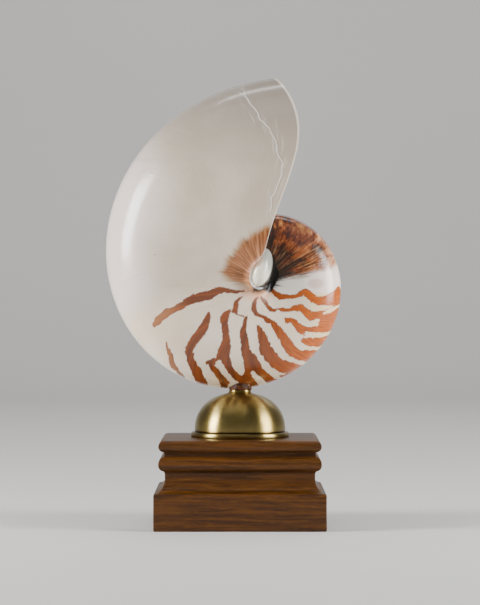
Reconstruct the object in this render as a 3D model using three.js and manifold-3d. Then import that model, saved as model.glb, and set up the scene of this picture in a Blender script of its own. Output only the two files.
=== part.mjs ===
// Half shell of a chambered nautilus, glued on a brass dome that stands on a moulded wooden
// plinth. Millimetres, +Z up. The origin is the centre of the plinth's underside.
// The shell is cut along its plane of symmetry, so the cut face with the chambers looks
// along +Y, and the outside of the shell looks along -Y.
import * as THREE from "three";
import { mergeVertices } from "three/addons/utils/BufferGeometryUtils.js";
import Module from "manifold-3d";

// Plinth: one block with the same moulding on its four sides, mitred at the corners.
const PLINTH_WIDTH = 92;
const PLINTH_DEPTH = 85;
const PLINTH_HEIGHT = 48;
const FOOT_ROUNDING = 0.6;
const BLOCK_TOP = 19.4;
const COVE_FOOT = { half: 45.5, z: 19.9 };
const COVE_TOP = { half: 40.0, z: 28.0 };
const LOWER_ROLL = { half: 40.8, z: 35.4, out: 2.7, rise: 3.7 };
const UPPER_ROLL = { half: 40.4, z: 44.9, out: 3.0, rise: 3.1 };
const NECKING_HALF = 40.1;
const NECKING_TOP = 30.7;
const ARC_STEPS = 6;

// Brass holder, turned about the vertical through the origin.
const FLANGE_RADIUS = 27;
const FLANGE_TOP = 50.8;
const FLANGE_EDGE = 0.9;
const DOME_RADIUS = 24.9;
const DOME_TOP = 72.4;
const DOME_FOOT = 0.6;
const DOME_SQUARENESS = 2.25;
const DOME_STEPS = 9;
const NECK_RADIUS = 6.15;
const NECK_TOP = 73.6;
const TURNED_SIDES = 32;
const BEAD = { radius: 6.5, chamfer: 0.6, shoulder: 77, top: 80 };
const GLUE_GAP = 0.3;

// Shell: where it stands, and the law of its spiral. Angles are in degrees, counter-clockwise
// seen from the front. Growth is counted backwards from the lip.
const AXIS_X = 12.05;
const AXIS_Z = 132.5;
const CUT_Y = 3;
const SPIRAL_RADIUS = 104.2;
const SPIRAL_START = 87;
const WHORL_RATIO = 2.944;
const LOBES = { cos: -0.0613, sin: 0.0659, sin2: 0.0119 };
const LIP_ANGLE = 86.4;
const LIP_FLARE = 0.012;
const LIP_FLARE_REACH = 7;

// Cross-section of the whorl, as shares of its outer radius.
const HALF_BREADTH = 0.355;
const WIDEST_AT = 0.42;
const KEEL_SQUARENESS = 2.6;
const NAVEL_DIP = 0.5;
const NAVEL_WIDTH = 0.07;
const NAVEL_INNER = 0.015;

// The growth line runs forward over the flank and back over the keel and at the navel.
const LINE_FORWARD = { most: 11.2, at: 0.62, inwards: 0.5, outwards: 0.38 };
const LINE_CURL = { most: 240, reach: 0.062 };

// Walls, living chamber and the gas chambers behind it.
const WALL_THIN = 1.1;
const WALL_THICK = 2.1;
const WALL_THICKENS_OVER = 45;
const WALL_LEAST = 0.45;
const SEPTUM_THICK = 1.2;
const SEPTUM_LEAST = 0.4;
const SEPTUM_BULGE = 12;
const LAST_SEPTUM = 135;
const CHAMBER_STEP = 22.5;
const CHAMBER_COUNT = 28;
const TUBE_AT = 0.62;
const TUBE_RADIUS = 0.018;
const TUBE_SIDES = 6;
const HOLLOW_INNER = 0.13;
const LIP_OVERCUT = 24;

// How finely the shell is faceted, how far a cutter runs past what it cuts, and the size of the
// slivers that are smoothed away where faces nearly meet.
const OUTSIDE_STEPS = 15;
const OUTSIDE_STRETCHES = 30;
const OUTSIDE_GROWTH = [0, 240, 480];
const NAVEL_CROWDING = 1.6;
const LIVING_STEPS = 12;
const LIVING_STRETCHES = 18;
const GAS_STEPS = 6;
const SEPTUM_RINGS = { large: [1, 0.5], small: [1], smallBelow: 56 };
const BEFORE_STEP = 15;
const BEFORE_OVERLAP = 32;
const UNDERSIDE = { from: 150, to: 220, stretches: 14, below: 6 };
const SECTION_HUB = { share: 0.5, height: 0.1 };
const OVERCUT = 2.5;
const SLIVER = 0.003;

// Porcelain-like callus that closes the navel under the lip.
const NAVEL_PLUG = { radius: 2.4, height: 20, sides: 12 };
const CALLUS = { x: 11.4, y: -20.9, z: 139.8, half: [6.3, 10.5, 11.2], lean: 14, sides: [18, 12] };

const BRASS = { color: 0x9c8246, roughness: 0.32, metalness: 1 };
const WOOD = { color: 0x6b3a1c, roughness: 0.45, metalness: 0 };
const GLUE = { color: 0x3a2412, roughness: 0.35, metalness: 0 };
const PEARL = { color: 0xe6dccf, roughness: 0.28, metalness: 0 };

const wasm = await Module();
wasm.setup();

const radians = THREE.MathUtils.degToRad;

// A closed solid from points and triangles, turned so that its faces look outwards.
function solidFrom(points, triangles) {
  const volume = triangles.reduce(
    (sum, [a, b, c]) => sum + points[a].dot(points[b].clone().cross(points[c])),
    0,
  );
  const turned = volume < 0 ? triangles.map(([a, b, c]) => [a, c, b]) : triangles;
  const vertProperties = new Float32Array(points.flatMap((p) => p.toArray()));
  const triVerts = new Uint32Array(turned.flat());
  return new wasm.Manifold(new wasm.Mesh({ numProp: 3, vertProperties, triVerts }));
}

function solidFromGeometry(geometry) {
  const bare = geometry.clone();
  bare.deleteAttribute("normal");
  bare.deleteAttribute("uv");
  const merged = mergeVertices(bare, 1e-4);
  const place = merged.getAttribute("position");
  const points = Array.from({ length: place.count }, (_, i) =>
    new THREE.Vector3().fromBufferAttribute(place, i),
  );
  const flat = Array.from(merged.index.array);
  const triangles = [];
  for (let i = 0; i < flat.length; i += 3) triangles.push(flat.slice(i, i + 3));
  return solidFrom(points, triangles);
}

function geometryFrom(solid) {
  const mesh = solid.getMesh();
  const geometry = new THREE.BufferGeometry();
  geometry.setAttribute("position", new THREE.BufferAttribute(mesh.vertProperties, 3));
  geometry.setIndex(new THREE.BufferAttribute(mesh.triVerts, 1));
  return geometry;
}

// Part of an ellipse in the plane of a profile, as points of half-width and height.
function arc(half, z, out, rise, fromDegrees, toDegrees) {
  return Array.from({ length: ARC_STEPS + 1 }, (_, i) => {
    const turn = radians(THREE.MathUtils.lerp(fromDegrees, toDegrees, i / ARC_STEPS));
    return [half + out * Math.cos(turn), z + rise * Math.sin(turn)];
  });
}

// Rings of a closed loft joined by side faces, with a fan over each end.
function loftTriangles(ringCount, ringSize, firstHub, lastHub) {
  const triangles = [];
  for (let i = 0; i < ringCount - 1; i++) {
    for (let j = 0; j < ringSize; j++) {
      const k = (j + 1) % ringSize;
      const [a, b] = [i * ringSize + j, i * ringSize + k];
      triangles.push([a, b, b + ringSize], [a, b + ringSize, a + ringSize]);
    }
  }
  const last = (ringCount - 1) * ringSize;
  for (let j = 0; j < ringSize; j++) {
    const k = (j + 1) % ringSize;
    triangles.push([firstHub, k, j], [lastHub, last + j, last + k]);
  }
  return triangles;
}

function plinthSolid() {
  const cove = arc(
    COVE_FOOT.half,
    COVE_TOP.z,
    COVE_FOOT.half - COVE_TOP.half,
    COVE_TOP.z - COVE_FOOT.z,
    -90,
    -180,
  );
  const profile = [
    [PLINTH_WIDTH / 2 - FOOT_ROUNDING, 0],
    [PLINTH_WIDTH / 2, FOOT_ROUNDING],
    [PLINTH_WIDTH / 2, BLOCK_TOP],
    ...cove,
    [NECKING_HALF, NECKING_TOP],
    ...arc(LOWER_ROLL.half, LOWER_ROLL.z, LOWER_ROLL.out, LOWER_ROLL.rise, -90, 90),
    ...arc(UPPER_ROLL.half, UPPER_ROLL.z, UPPER_ROLL.out, UPPER_ROLL.rise, -90, 90),
  ];
  const points = [];
  for (const [half, z] of profile) {
    const depth = half - (PLINTH_WIDTH - PLINTH_DEPTH) / 2;
    for (const [sx, sy] of [[-1, -1], [1, -1], [1, 1], [-1, 1]]) {
      points.push(new THREE.Vector3(sx * half, sy * depth, z));
    }
  }
  const hubs = [points.length, points.length + 1];
  points.push(new THREE.Vector3(0, 0, 0), new THREE.Vector3(0, 0, PLINTH_HEIGHT));
  return solidFrom(points, loftTriangles(profile.length, 4, ...hubs));
}

// A piece turned about the vertical through the origin.
function turnedSolid(profile) {
  const outline = profile.map(([radius, z]) => new THREE.Vector2(radius, z));
  const lathe = new THREE.LatheGeometry(outline, TURNED_SIDES);
  lathe.rotateX(Math.PI / 2);
  return solidFromGeometry(lathe);
}

function flangeSolid() {
  const middle = (PLINTH_HEIGHT + FLANGE_TOP) / 2;
  const half = (FLANGE_TOP - PLINTH_HEIGHT) / 2;
  const edge = arc(FLANGE_RADIUS - FLANGE_EDGE, middle, FLANGE_EDGE, half, -90, 90);
  return turnedSolid([[0, PLINTH_HEIGHT], ...edge, [0, FLANGE_TOP]]);
}

function domeSolid() {
  const foot = FLANGE_TOP + DOME_FOOT;
  const rise = DOME_TOP - foot;
  const crown = Math.asin(NECK_RADIUS / DOME_RADIUS);
  const curve = Array.from({ length: DOME_STEPS }, (_, i) => {
    const turn = ((Math.PI / 2 - crown) * i) / DOME_STEPS;
    const [c, s] = [Math.cos(turn), Math.sin(turn)].map((v) => v ** (2 / DOME_SQUARENESS));
    return [DOME_RADIUS * c, foot + rise * s];
  });
  const rim = [DOME_RADIUS - DOME_FOOT, FLANGE_TOP];
  return turnedSolid([[0, FLANGE_TOP], rim, ...curve, [NECK_RADIUS, DOME_TOP], [0, DOME_TOP]]);
}

function neckSolid() {
  return turnedSolid([[0, DOME_TOP], [NECK_RADIUS, DOME_TOP], [NECK_RADIUS, NECK_TOP], [0, NECK_TOP]]);
}

// Outer radius of the spiral, by growth in degrees back from the lip.
function spiralRadius(growth) {
  const angle = LIP_ANGLE + growth;
  const turn = radians(angle);
  const lobes =
    LOBES.cos * Math.cos(turn) + LOBES.sin * Math.sin(turn) + LOBES.sin2 * Math.sin(2 * turn);
  const flare = 1 + LIP_FLARE * Math.exp(-Math.max(growth, 0) / LIP_FLARE_REACH);
  return SPIRAL_RADIUS * WHORL_RATIO ** ((SPIRAL_START - angle) / 360) * Math.exp(lobes) * flare;
}

// Height of the outside over the cut plane, for a share of the radius.
function breadth(share) {
  const past = Math.max(0, (share - WIDEST_AT) / (1 - WIDEST_AT));
  const keel = Math.sqrt(Math.max(0, 1 - past ** KEEL_SQUARENESS));
  return HALF_BREADTH * keel * (1 - NAVEL_DIP * Math.exp(-share / NAVEL_WIDTH));
}

// How far a growth line stands from the lip's angle at the keel, in degrees.
function lineShift(share) {
  const { most, at, inwards, outwards } = LINE_FORWARD;
  const away = (share - at) / (share < at ? inwards : outwards);
  const curl = LINE_CURL.most * Math.exp(-((share / LINE_CURL.reach) ** 2));
  return curl - most * Math.max(0, 1 - away * away);
}

// A point at an angle behind the lip, with its reach and rise as shares of a radius.
function radialPoint(turn, radius, reach, rise) {
  const angle = radians(LIP_ANGLE + turn);
  const [along, up] = [reach * radius * Math.cos(angle), reach * radius * Math.sin(angle)];
  return new THREE.Vector3(AXIS_X + along, CUT_Y - rise * radius, AXIS_Z + up);
}

// A point on a growth line of the whorl, by its shares, moved out by a distance.
function whorlPoint(growth, share, height, outwards = [0, 0]) {
  const radius = spiralRadius(growth);
  const [reach, rise] = [share + outwards[0] / radius, height + outwards[1] / radius];
  return radialPoint(growth + lineShift(share), radius, reach, rise);
}

// Section of the outside from the keel to the navel, as shares, with the outward direction.
function outerSection(steps, innermost, crowding) {
  const shares = Array.from({ length: steps + 1 }, (_, i) => {
    const fall = Math.cos((Math.PI / 2) * (i / steps)) ** crowding;
    return innermost + (1 - innermost) * fall;
  });
  return shares.map((share, i) => {
    const [before, after] = [shares[Math.max(i - 1, 0)], shares[Math.min(i + 1, steps)]];
    const rise = breadth(after) - (i === 0 ? -breadth(after) : breadth(before));
    const along = new THREE.Vector2(after - before, rise).normalize();
    return { share, height: breadth(share), out: [along.y, -along.x] };
  });
}

// A stretch of the filled whorl, from the cut plane to its outside, moved out by a margin.
function whorlStretch(from, to, stretches, steps, { margin = 0, below = 0 } = {}) {
  const section = outerSection(steps, NAVEL_INNER, NAVEL_CROWDING);
  const points = [];
  for (let i = 0; i <= stretches; i++) {
    const growth = THREE.MathUtils.lerp(from, to, i / stretches);
    const radius = spiralRadius(growth);
    const lowest = -below / radius;
    if (below > 0) points.push(whorlPoint(growth, 1, lowest, [margin, 0]));
    for (const { share, height, out } of section) {
      points.push(whorlPoint(growth, share, height, [out[0] * margin, out[1] * margin]));
    }
    points.push(radialPoint(growth, radius, NAVEL_INNER, lowest));
  }
  const ringSize = points.length / (stretches + 1);
  const hubs = [points.length, points.length + 1];
  for (const growth of [from, to]) {
    points.push(whorlPoint(growth, SECTION_HUB.share, SECTION_HUB.height));
  }
  return solidFrom(points, loftTriangles(stretches + 1, ringSize, ...hubs));
}

// The whorl that a hollow between two growth angles is wrapped around.
function whorlBefore(from, to, steps) {
  const [first, last] = [from + 360 - BEFORE_OVERLAP, to + 360 + BEFORE_OVERLAP];
  const stretches = Math.ceil((last - first) / BEFORE_STEP);
  return whorlStretch(first, last, stretches, steps, { below: OVERCUT });
}

function wallThickness(growth) {
  const share = THREE.MathUtils.smoothstep(growth, 0, WALL_THICKENS_OVER);
  const wall = THREE.MathUtils.lerp(WALL_THIN, WALL_THICK, share);
  const grown = spiralRadius(Math.max(growth, LAST_SEPTUM)) / spiralRadius(LAST_SEPTUM);
  return Math.max(WALL_LEAST, wall * grown);
}

// Half the thickness of the septum at a growth angle, as an angle at the middle of the whorl.
function halfSeptum(growth) {
  const radius = spiralRadius(growth);
  const thick = Math.max(SEPTUM_LEAST, (SEPTUM_THICK * radius) / spiralRadius(LAST_SEPTUM));
  return THREE.MathUtils.radToDeg(thick / 2 / (TUBE_AT * radius));
}

// The inside of the whorl between two radial planes, open at the cut face. Its front is flat
// or dished like its back, which is always a septum, hollow side towards the lip.
function whorlHollow(from, to, stretches, steps, frontBulge) {
  const section = outerSection(steps, HOLLOW_INNER, 1);
  const rim = [
    { share: 1, height: 0, out: [1, 0], below: OVERCUT },
    ...section,
    { share: HOLLOW_INNER, height: 0, out: [0, 0], below: OVERCUT },
  ];
  const ringAt = (turn, spread, bulge) =>
    rim.map(({ share, height, out, below = 0 }) => {
      const growth = turn - lineShift(share) + bulge * (1 - spread * spread);
      const radius = spiralRadius(growth);
      const inset = wallThickness(growth) / radius;
      const reach = (share - out[0] * inset - TUBE_AT) * spread + TUBE_AT;
      const rise = (height - out[1] * inset - below / radius) * spread;
      return radialPoint(growth + lineShift(share), radius, reach, rise);
    });
  const ringsAt = (turn) =>
    spiralRadius(turn) < SEPTUM_RINGS.smallBelow ? SEPTUM_RINGS.small : SEPTUM_RINGS.large;
  const loops = [...ringsAt(from)].reverse().map((spread) => ringAt(from, spread, frontBulge));
  for (let i = 1; i < stretches; i++) {
    loops.push(ringAt(THREE.MathUtils.lerp(from, to, i / stretches), 1, 0));
  }
  loops.push(...ringsAt(to).map((spread) => ringAt(to, spread, SEPTUM_BULGE)));
  const points = loops.flat();
  const hubs = [points.length, points.length + 1];
  for (const [turn, bulge] of [[from, frontBulge], [to, SEPTUM_BULGE]]) {
    points.push(radialPoint(turn + bulge, spiralRadius(turn + bulge), TUBE_AT, 0));
  }
  const inside = solidFrom(points, loftTriangles(loops.length, rim.length, ...hubs));
  return inside.subtract(whorlBefore(from, to, steps));
}

// The living chamber, from beyond the lip back to the last septum.
function livingHollow() {
  const to = LAST_SEPTUM - halfSeptum(LAST_SEPTUM);
  return whorlHollow(-LIP_OVERCUT, to, LIVING_STRETCHES, LIVING_STEPS, 0);
}

// The gas chambers, one for each step of growth behind the last septum.
function gasHollows() {
  return Array.from({ length: CHAMBER_COUNT }, (_, i) => {
    const [from, to] = [i, i + 1].map((n) => LAST_SEPTUM + n * CHAMBER_STEP);
    return whorlHollow(from + halfSeptum(from), to - halfSeptum(to), 1, GAS_STEPS, SEPTUM_BULGE);
  });
}

// The narrow tube that runs through every septum.
function tubeHollow() {
  const last = LAST_SEPTUM + CHAMBER_COUNT * CHAMBER_STEP;
  const stretches = Math.round((last - LAST_SEPTUM) / (CHAMBER_STEP / 2));
  const points = [];
  for (let i = 0; i <= stretches; i++) {
    const growth = THREE.MathUtils.lerp(LAST_SEPTUM, last, i / stretches);
    for (let j = 0; j < TUBE_SIDES; j++) {
      const turn = (j / TUBE_SIDES) * 2 * Math.PI;
      const share = TUBE_AT + TUBE_RADIUS * Math.cos(turn);
      points.push(whorlPoint(growth, share, TUBE_RADIUS * Math.sin(turn)));
    }
  }
  const hubs = [points.length, points.length + 1];
  points.push(whorlPoint(LAST_SEPTUM, TUBE_AT, 0), whorlPoint(last, TUBE_AT, 0));
  return solidFrom(points, loftTriangles(stretches + 1, TUBE_SIDES, ...hubs));
}

// The plug that closes the axis.
function plugSolid() {
  const { radius, height, sides } = NAVEL_PLUG;
  const plug = new THREE.CylinderGeometry(radius, radius, height, sides);
  plug.translate(AXIS_X, CUT_Y - height / 2, AXIS_Z);
  return solidFromGeometry(plug);
}

// The callus that swells over the navel under the lip, on the outside of the whorl before.
function callusSolid() {
  const callus = new THREE.SphereGeometry(1, ...CALLUS.sides);
  callus.scale(...CALLUS.half);
  callus.rotateY(radians(CALLUS.lean));
  callus.translate(CALLUS.x, CALLUS.y, CALLUS.z);
  return solidFromGeometry(callus).subtract(whorlBefore(0, LAST_SEPTUM, LIVING_STEPS));
}

function shellSolid() {
  const [lip, middle, end] = OUTSIDE_GROWTH;
  const front = whorlStretch(lip, middle, OUTSIDE_STRETCHES, OUTSIDE_STEPS);
  const back = whorlStretch(middle, end, OUTSIDE_STRETCHES, OUTSIDE_STEPS);
  const hollows = [livingHollow(), ...gasHollows(), tubeHollow()];
  const walls = hollows.reduce((rest, hollow) => rest.subtract(hollow), front.add(back));
  return walls.add(plugSolid()).add(callusSolid()).simplify(SLIVER);
}

// The bead of glue squeezed out between the neck and the underside of the shell.
function beadSolid() {
  const foot = NECK_TOP + GLUE_GAP;
  const blob = turnedSolid([
    [0, foot],
    [BEAD.radius - BEAD.chamfer, foot],
    [BEAD.radius, foot + BEAD.chamfer],
    [BEAD.radius, BEAD.shoulder],
    [0, BEAD.top],
  ]);
  const { from, to, stretches, below } = UNDERSIDE;
  const over = whorlStretch(from, to, stretches, OUTSIDE_STEPS, { margin: GLUE_GAP, below });
  return blob.subtract(over);
}

const pieces = [
  ["plinth", plinthSolid(), WOOD],
  ["flange", flangeSolid(), BRASS],
  ["dome", domeSolid(), BRASS],
  ["neck", neckSolid(), BRASS],
  ["glue_bead", beadSolid(), GLUE],
  ["shell", shellSolid(), PEARL],
];

const nautilus = new THREE.Group();
for (const [name, solid, finish] of pieces) {
  const mesh = new THREE.Mesh(geometryFrom(solid), new THREE.MeshStandardMaterial(finish));
  mesh.name = name;
  nautilus.add(mesh);
}

export default nautilus;
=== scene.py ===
# %% [markdown]
# A chambered nautilus shell, sawn in half along its plane of symmetry, stands on a brass dome
# that is screwed to a moulded wooden plinth. The outside of the shell looks along -Y, towards
# the camera, and the cut face with the chambers looks along +Y. The imported solids are loaded
# first, and each is hidden once the piece built in its place is made.

import math

import bmesh
import bpy
import numpy as np
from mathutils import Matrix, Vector


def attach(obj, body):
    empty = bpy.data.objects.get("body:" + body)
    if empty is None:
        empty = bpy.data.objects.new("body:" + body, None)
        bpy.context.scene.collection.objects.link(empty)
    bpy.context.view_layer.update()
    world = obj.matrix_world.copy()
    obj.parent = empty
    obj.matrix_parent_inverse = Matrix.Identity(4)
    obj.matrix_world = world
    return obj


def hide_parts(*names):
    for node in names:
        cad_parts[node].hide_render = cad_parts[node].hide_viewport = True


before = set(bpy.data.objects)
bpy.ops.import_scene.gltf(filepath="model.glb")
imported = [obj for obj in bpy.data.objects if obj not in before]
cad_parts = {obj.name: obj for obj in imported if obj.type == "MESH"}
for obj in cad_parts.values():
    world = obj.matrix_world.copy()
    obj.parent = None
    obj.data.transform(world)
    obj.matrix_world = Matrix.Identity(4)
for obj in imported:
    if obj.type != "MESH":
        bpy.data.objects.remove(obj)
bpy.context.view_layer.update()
MM = 0.001
print("solids:", sorted(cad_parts))

# %% [markdown]
# The camera looks straight at the shell from a little over a metre away, level with the middle
# of the piece. A long lens at that distance keeps the plinth's sides nearly parallel.

# %% Camera
CAMERA_DISTANCE = 1.25
CAMERA_HEIGHT = 0.1215
FRAME_HEIGHT_PIXELS = 605
FOCAL_PIXELS = 2281
SENSOR = 36

camera = bpy.data.objects.new("camera", bpy.data.cameras.new("camera"))
camera.location = (0, -CAMERA_DISTANCE, CAMERA_HEIGHT)
camera.rotation_euler = (math.radians(90), 0, 0)
camera.data.sensor_fit = "AUTO"
camera.data.sensor_width = SENSOR
camera.data.lens = SENSOR * FOCAL_PIXELS / FRAME_HEIGHT_PIXELS
camera.data.clip_start = 0.01
bpy.context.collection.objects.link(camera)
bpy.context.scene.camera = camera
print("lens", round(camera.data.lens, 1), "mm")

# %% [markdown]
# Small helpers come next: one for a material built from nodes, one for a colour written as
# a web colour, and one for a plain mesh object. A shader tree is a chain of small sums, so a
# class stands for one socket and lets the sums be written as ordinary arithmetic. The same
# class is used later for the fields of Geometry Nodes, because both kinds of tree have the same
# Math node.

# %% Helpers for meshes, colours and node sums


def srgb(code):
    """A web colour such as #b5602f as the linear numbers that Blender works with."""
    parts = [int(code[i : i + 2], 16) / 255 for i in (1, 3, 5)]
    linear = [c / 12.92 if c <= 0.04045 else ((c + 0.055) / 1.055) ** 2.4 for c in parts]
    return (*linear, 1.0)


def mesh_object(name, points, faces, materials=(), smooth_below=None):
    """A mesh object at the origin. Edges turn sharp where faces meet at more than an angle."""
    mesh = bpy.data.meshes.new(name)
    mesh.from_pydata([tuple(map(float, p)) for p in points], [], faces)
    mesh.update()
    for material in materials:
        mesh.materials.append(material)
    if smooth_below is not None:
        mesh.shade_smooth()
        mesh.set_sharp_from_angle(angle=math.radians(smooth_below))
    piece = bpy.data.objects.new(name, mesh)
    bpy.context.collection.objects.link(piece)
    return piece


class Sum:
    """The output of a node, which can be added, multiplied and so on, as a number can."""

    def __init__(self, tree, socket):
        self.tree = tree
        self.socket = socket

    def math(self, operation, *others, first=None):
        node = self.tree.nodes.new("ShaderNodeMath")
        node.operation = operation
        values = [self if first is None else first, *others]
        for place, value in zip(node.inputs, values):
            if isinstance(value, Sum):
                self.tree.links.new(value.socket, place)
            else:
                place.default_value = float(value)
        return Sum(self.tree, node.outputs[0])

    def __add__(self, other):
        return self.math("ADD", other)

    def __sub__(self, other):
        return self.math("SUBTRACT", other)

    def __mul__(self, other):
        return self.math("MULTIPLY", other)

    def __truediv__(self, other):
        return self.math("DIVIDE", other)

    def __pow__(self, other):
        return self.math("POWER", other)

    def __rsub__(self, other):
        return self.math("SUBTRACT", self, first=other)

    def __rtruediv__(self, other):
        return self.math("DIVIDE", self, first=other)

    def __neg__(self):
        return self.math("MULTIPLY", -1)

    __radd__ = __add__
    __rmul__ = __mul__


def either(operation, array_function):
    """A function that works on arrays of numbers and on node sums alike."""

    def apply(value, *others):
        if isinstance(value, Sum):
            return value.math(operation, *others)
        return array_function(value, *others)

    return apply


cos = either("COSINE", np.cos)
sin = either("SINE", np.sin)
exp = either("EXPONENT", np.exp)
sqrt = either("SQRT", np.sqrt)
sign = either("SIGN", np.sign)
greater = either("MAXIMUM", np.maximum)
lesser = either("MINIMUM", np.minimum)
print("helpers ready")

# %% [markdown]
# The shell follows a rule. Its outer edge is a logarithmic spiral: each turn has the same ratio to
# the turn before, here nearly 3 to 1, with a slight unevenness of its own. Every cross-section
# has the same outline, scaled to the spiral's radius. The lines of growth, of which the lip is
# the last, bow forward over the flank and curl into the navel. The rule is written once, with
# growth in degrees back from the lip, and used for arrays of numbers and for nodes.

# %% The rule of the shell's growth
AXIS_X = 12.05 * MM
AXIS_Z = 132.5 * MM
CUT_Y = 3 * MM
SPIRAL_RADIUS = 104.2 * MM
SPIRAL_START = 87
WHORL_RATIO = 2.944
LOBE_COS, LOBE_SIN, LOBE_SIN2 = -0.0613, 0.0659, 0.0119
LIP_ANGLE = 86.4
LIP_FLARE = 0.012
LIP_FLARE_REACH = 7
HALF_BREADTH = 0.355
WIDEST_AT = 0.42
KEEL_SQUARENESS = 2.6
NAVEL_DIP = 0.5
NAVEL_WIDTH = 0.07
NAVEL_INNER = 0.015
LINE_MOST, LINE_AT, LINE_INWARDS, LINE_OUTWARDS = 11.2, 0.62, 0.5, 0.38
CURL_MOST, CURL_REACH = 240, 0.062
RADIANS = math.pi / 180


def spiral_radius(growth):
    turn = (growth + LIP_ANGLE) * RADIANS
    lobes = cos(turn) * LOBE_COS + sin(turn) * LOBE_SIN + sin(turn * 2) * LOBE_SIN2
    shrink = (SPIRAL_START - LIP_ANGLE - growth) * (math.log(WHORL_RATIO) / 360)
    flare = exp(greater(growth, 0) * (-1 / LIP_FLARE_REACH)) * LIP_FLARE + 1
    return exp(lobes + shrink) * flare * SPIRAL_RADIUS


def breadth(share):
    past = greater((share - WIDEST_AT) / (1 - WIDEST_AT), 0)
    keel = sqrt(greater(1 - past**KEEL_SQUARENESS, 0))
    dip = 1 - exp(share * (-1 / NAVEL_WIDTH)) * NAVEL_DIP
    return keel * dip * HALF_BREADTH


def line_curl(share):
    return exp((share / CURL_REACH) ** 2 * -1) * CURL_MOST


def line_shift(share):
    """How far a growth line stands from the lip's angle at the keel, in degrees."""
    off = share - LINE_AT
    away = greater(off / LINE_OUTWARDS, off / -LINE_INWARDS)
    bow = greater(1 - away * away, 0) * LINE_MOST
    return line_curl(share) - bow


print("radius at the lip", round(float(spiral_radius(np.float64(0))) / MM, 1), "mm")

# %% [markdown]
# Geometry Nodes can grow such a piece from a drum. A Mesh Cylinder has rings along its length
# and fans at its two ends. Its length becomes growth along the spiral, its rim becomes the
# outline of the cross-section, and its ends become the lip's plane or the dished walls between
# chambers. One tree bends one drum into a solid stretch of whorl. A second tree does the same
# for the hollow chambers, with one drum for each chamber, because they repeat.

# %% The drum, and the outline of the section round its rim
SECTION_HUB_SHARE, SECTION_HUB_HEIGHT = 0.5, 0.1
SLOPE_STEP = 0.02


def new_tree(name, inputs):
    """A geometry tree with named number inputs, and a Sum for each of them."""
    tree = bpy.data.node_groups.new(name, "GeometryNodeTree")
    tree.interface.new_socket("Geometry", in_out="INPUT", socket_type="NodeSocketGeometry")
    for label, kind in inputs.items():
        tree.interface.new_socket(label, in_out="INPUT", socket_type=kind)
    tree.interface.new_socket("Geometry", in_out="OUTPUT", socket_type="NodeSocketGeometry")
    outlet = tree.nodes.new("NodeGroupOutput")
    inlet = tree.nodes.new("NodeGroupInput")
    values = {label: Sum(tree, inlet.outputs[label]) for label in inputs}
    return tree, values, outlet


def drum(tree, sides, lengths, rings):
    """A cylinder of radius one and length one, with its two ends filled by rings."""
    cylinder = tree.nodes.new("GeometryNodeMeshCylinder")
    cylinder.fill_type = "TRIANGLE_FAN"
    cylinder.inputs["Radius"].default_value = 1
    cylinder.inputs["Depth"].default_value = 1
    for label, value in (("Vertices", sides), ("Side Segments", lengths), ("Fill Segments", rings)):
        tree.links.new(value.socket, cylinder.inputs[label])
    return cylinder.outputs["Mesh"]


def drum_place(tree, sides):
    """Each vertex's place on the drum: how far along, which spoke of the rim, and how far out."""
    position = tree.nodes.new("GeometryNodeInputPosition")
    split = tree.nodes.new("ShaderNodeSeparateXYZ")
    tree.links.new(position.outputs[0], split.inputs[0])
    x, y, z = (Sum(tree, socket) for socket in split.outputs)
    spoke = (y.math("ARCTAN2", x) / (2 * math.pi) + 2).math("FRACT") * sides
    return z + 0.5, spoke.math("ROUND"), sqrt(x * x + y * y)


def outline(spoke, last, innermost, crowding):
    """Share, height and outward slope of the section's outline at a spoke of the rim. Spokes up
    to the last run from the keel to the navel. The two after it close the loop."""

    def at(turn):
        fall = greater(cos(turn), 0) ** crowding
        share = fall * (1 - innermost) + innermost
        return share, breadth(share) * sign(turn)

    turn = lesser(spoke / last, 1) * (math.pi / 2)
    share, height = at(turn)
    past, ahead = at(turn - SLOPE_STEP), at(turn + SLOPE_STEP)
    run, rise = ahead[0] - past[0], ahead[1] - past[1]
    length = sqrt(run * run + rise * rise)
    return share, height, rise / length, -(run / length)


def between(first, last, share):
    return first + (last - first) * share


def bend(tree, mesh, turn, radius, reach, rise):
    """Moves each vertex to its place round the axis, and returns the bent mesh."""
    angle = (turn + LIP_ANGLE) * RADIANS
    join = tree.nodes.new("ShaderNodeCombineXYZ")
    places = (
        cos(angle) * reach * radius + AXIS_X,
        CUT_Y - rise * radius,
        sin(angle) * reach * radius + AXIS_Z,
    )
    for place, value in zip(join.inputs, places):
        tree.links.new(value.socket, place)
    move = tree.nodes.new("GeometryNodeSetPosition")
    tree.links.new(mesh, move.inputs["Geometry"])
    tree.links.new(join.outputs[0], move.inputs["Position"])
    return move.outputs[0]


def finish_tree(tree, mesh, outlet, material, flip=False):
    if flip:
        turned = tree.nodes.new("GeometryNodeFlipFaces")
        tree.links.new(mesh, turned.inputs[0])
        mesh = turned.outputs[0]
    realize = tree.nodes.new("GeometryNodeRealizeInstances")
    coat = tree.nodes.new("GeometryNodeSetMaterial")
    coat.inputs["Material"].default_value = material
    tree.links.new(mesh, realize.inputs[0])
    tree.links.new(realize.outputs[0], coat.inputs["Geometry"])
    tree.links.new(coat.outputs[0], outlet.inputs[0])
    return tree


def grown(name, tree, **inputs):
    """A plain mesh from a tree. Each input is set by its socket's identifier."""
    piece = mesh_object(name, [], [])
    modifier = piece.modifiers.new("grow", "NODES")
    modifier.node_group = tree
    for socket in tree.interface.items_tree:
        if socket.in_out == "INPUT" and socket.name in inputs:
            modifier[socket.identifier] = inputs[socket.name]
    piece.update_tag()
    bpy.context.view_layer.update()
    evaluated = piece.evaluated_get(bpy.context.evaluated_depsgraph_get())
    mesh = bpy.data.meshes.new_from_object(evaluated)
    piece.modifiers.remove(modifier)
    piece.data = mesh
    return piece


print("drum and outline ready")

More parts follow.
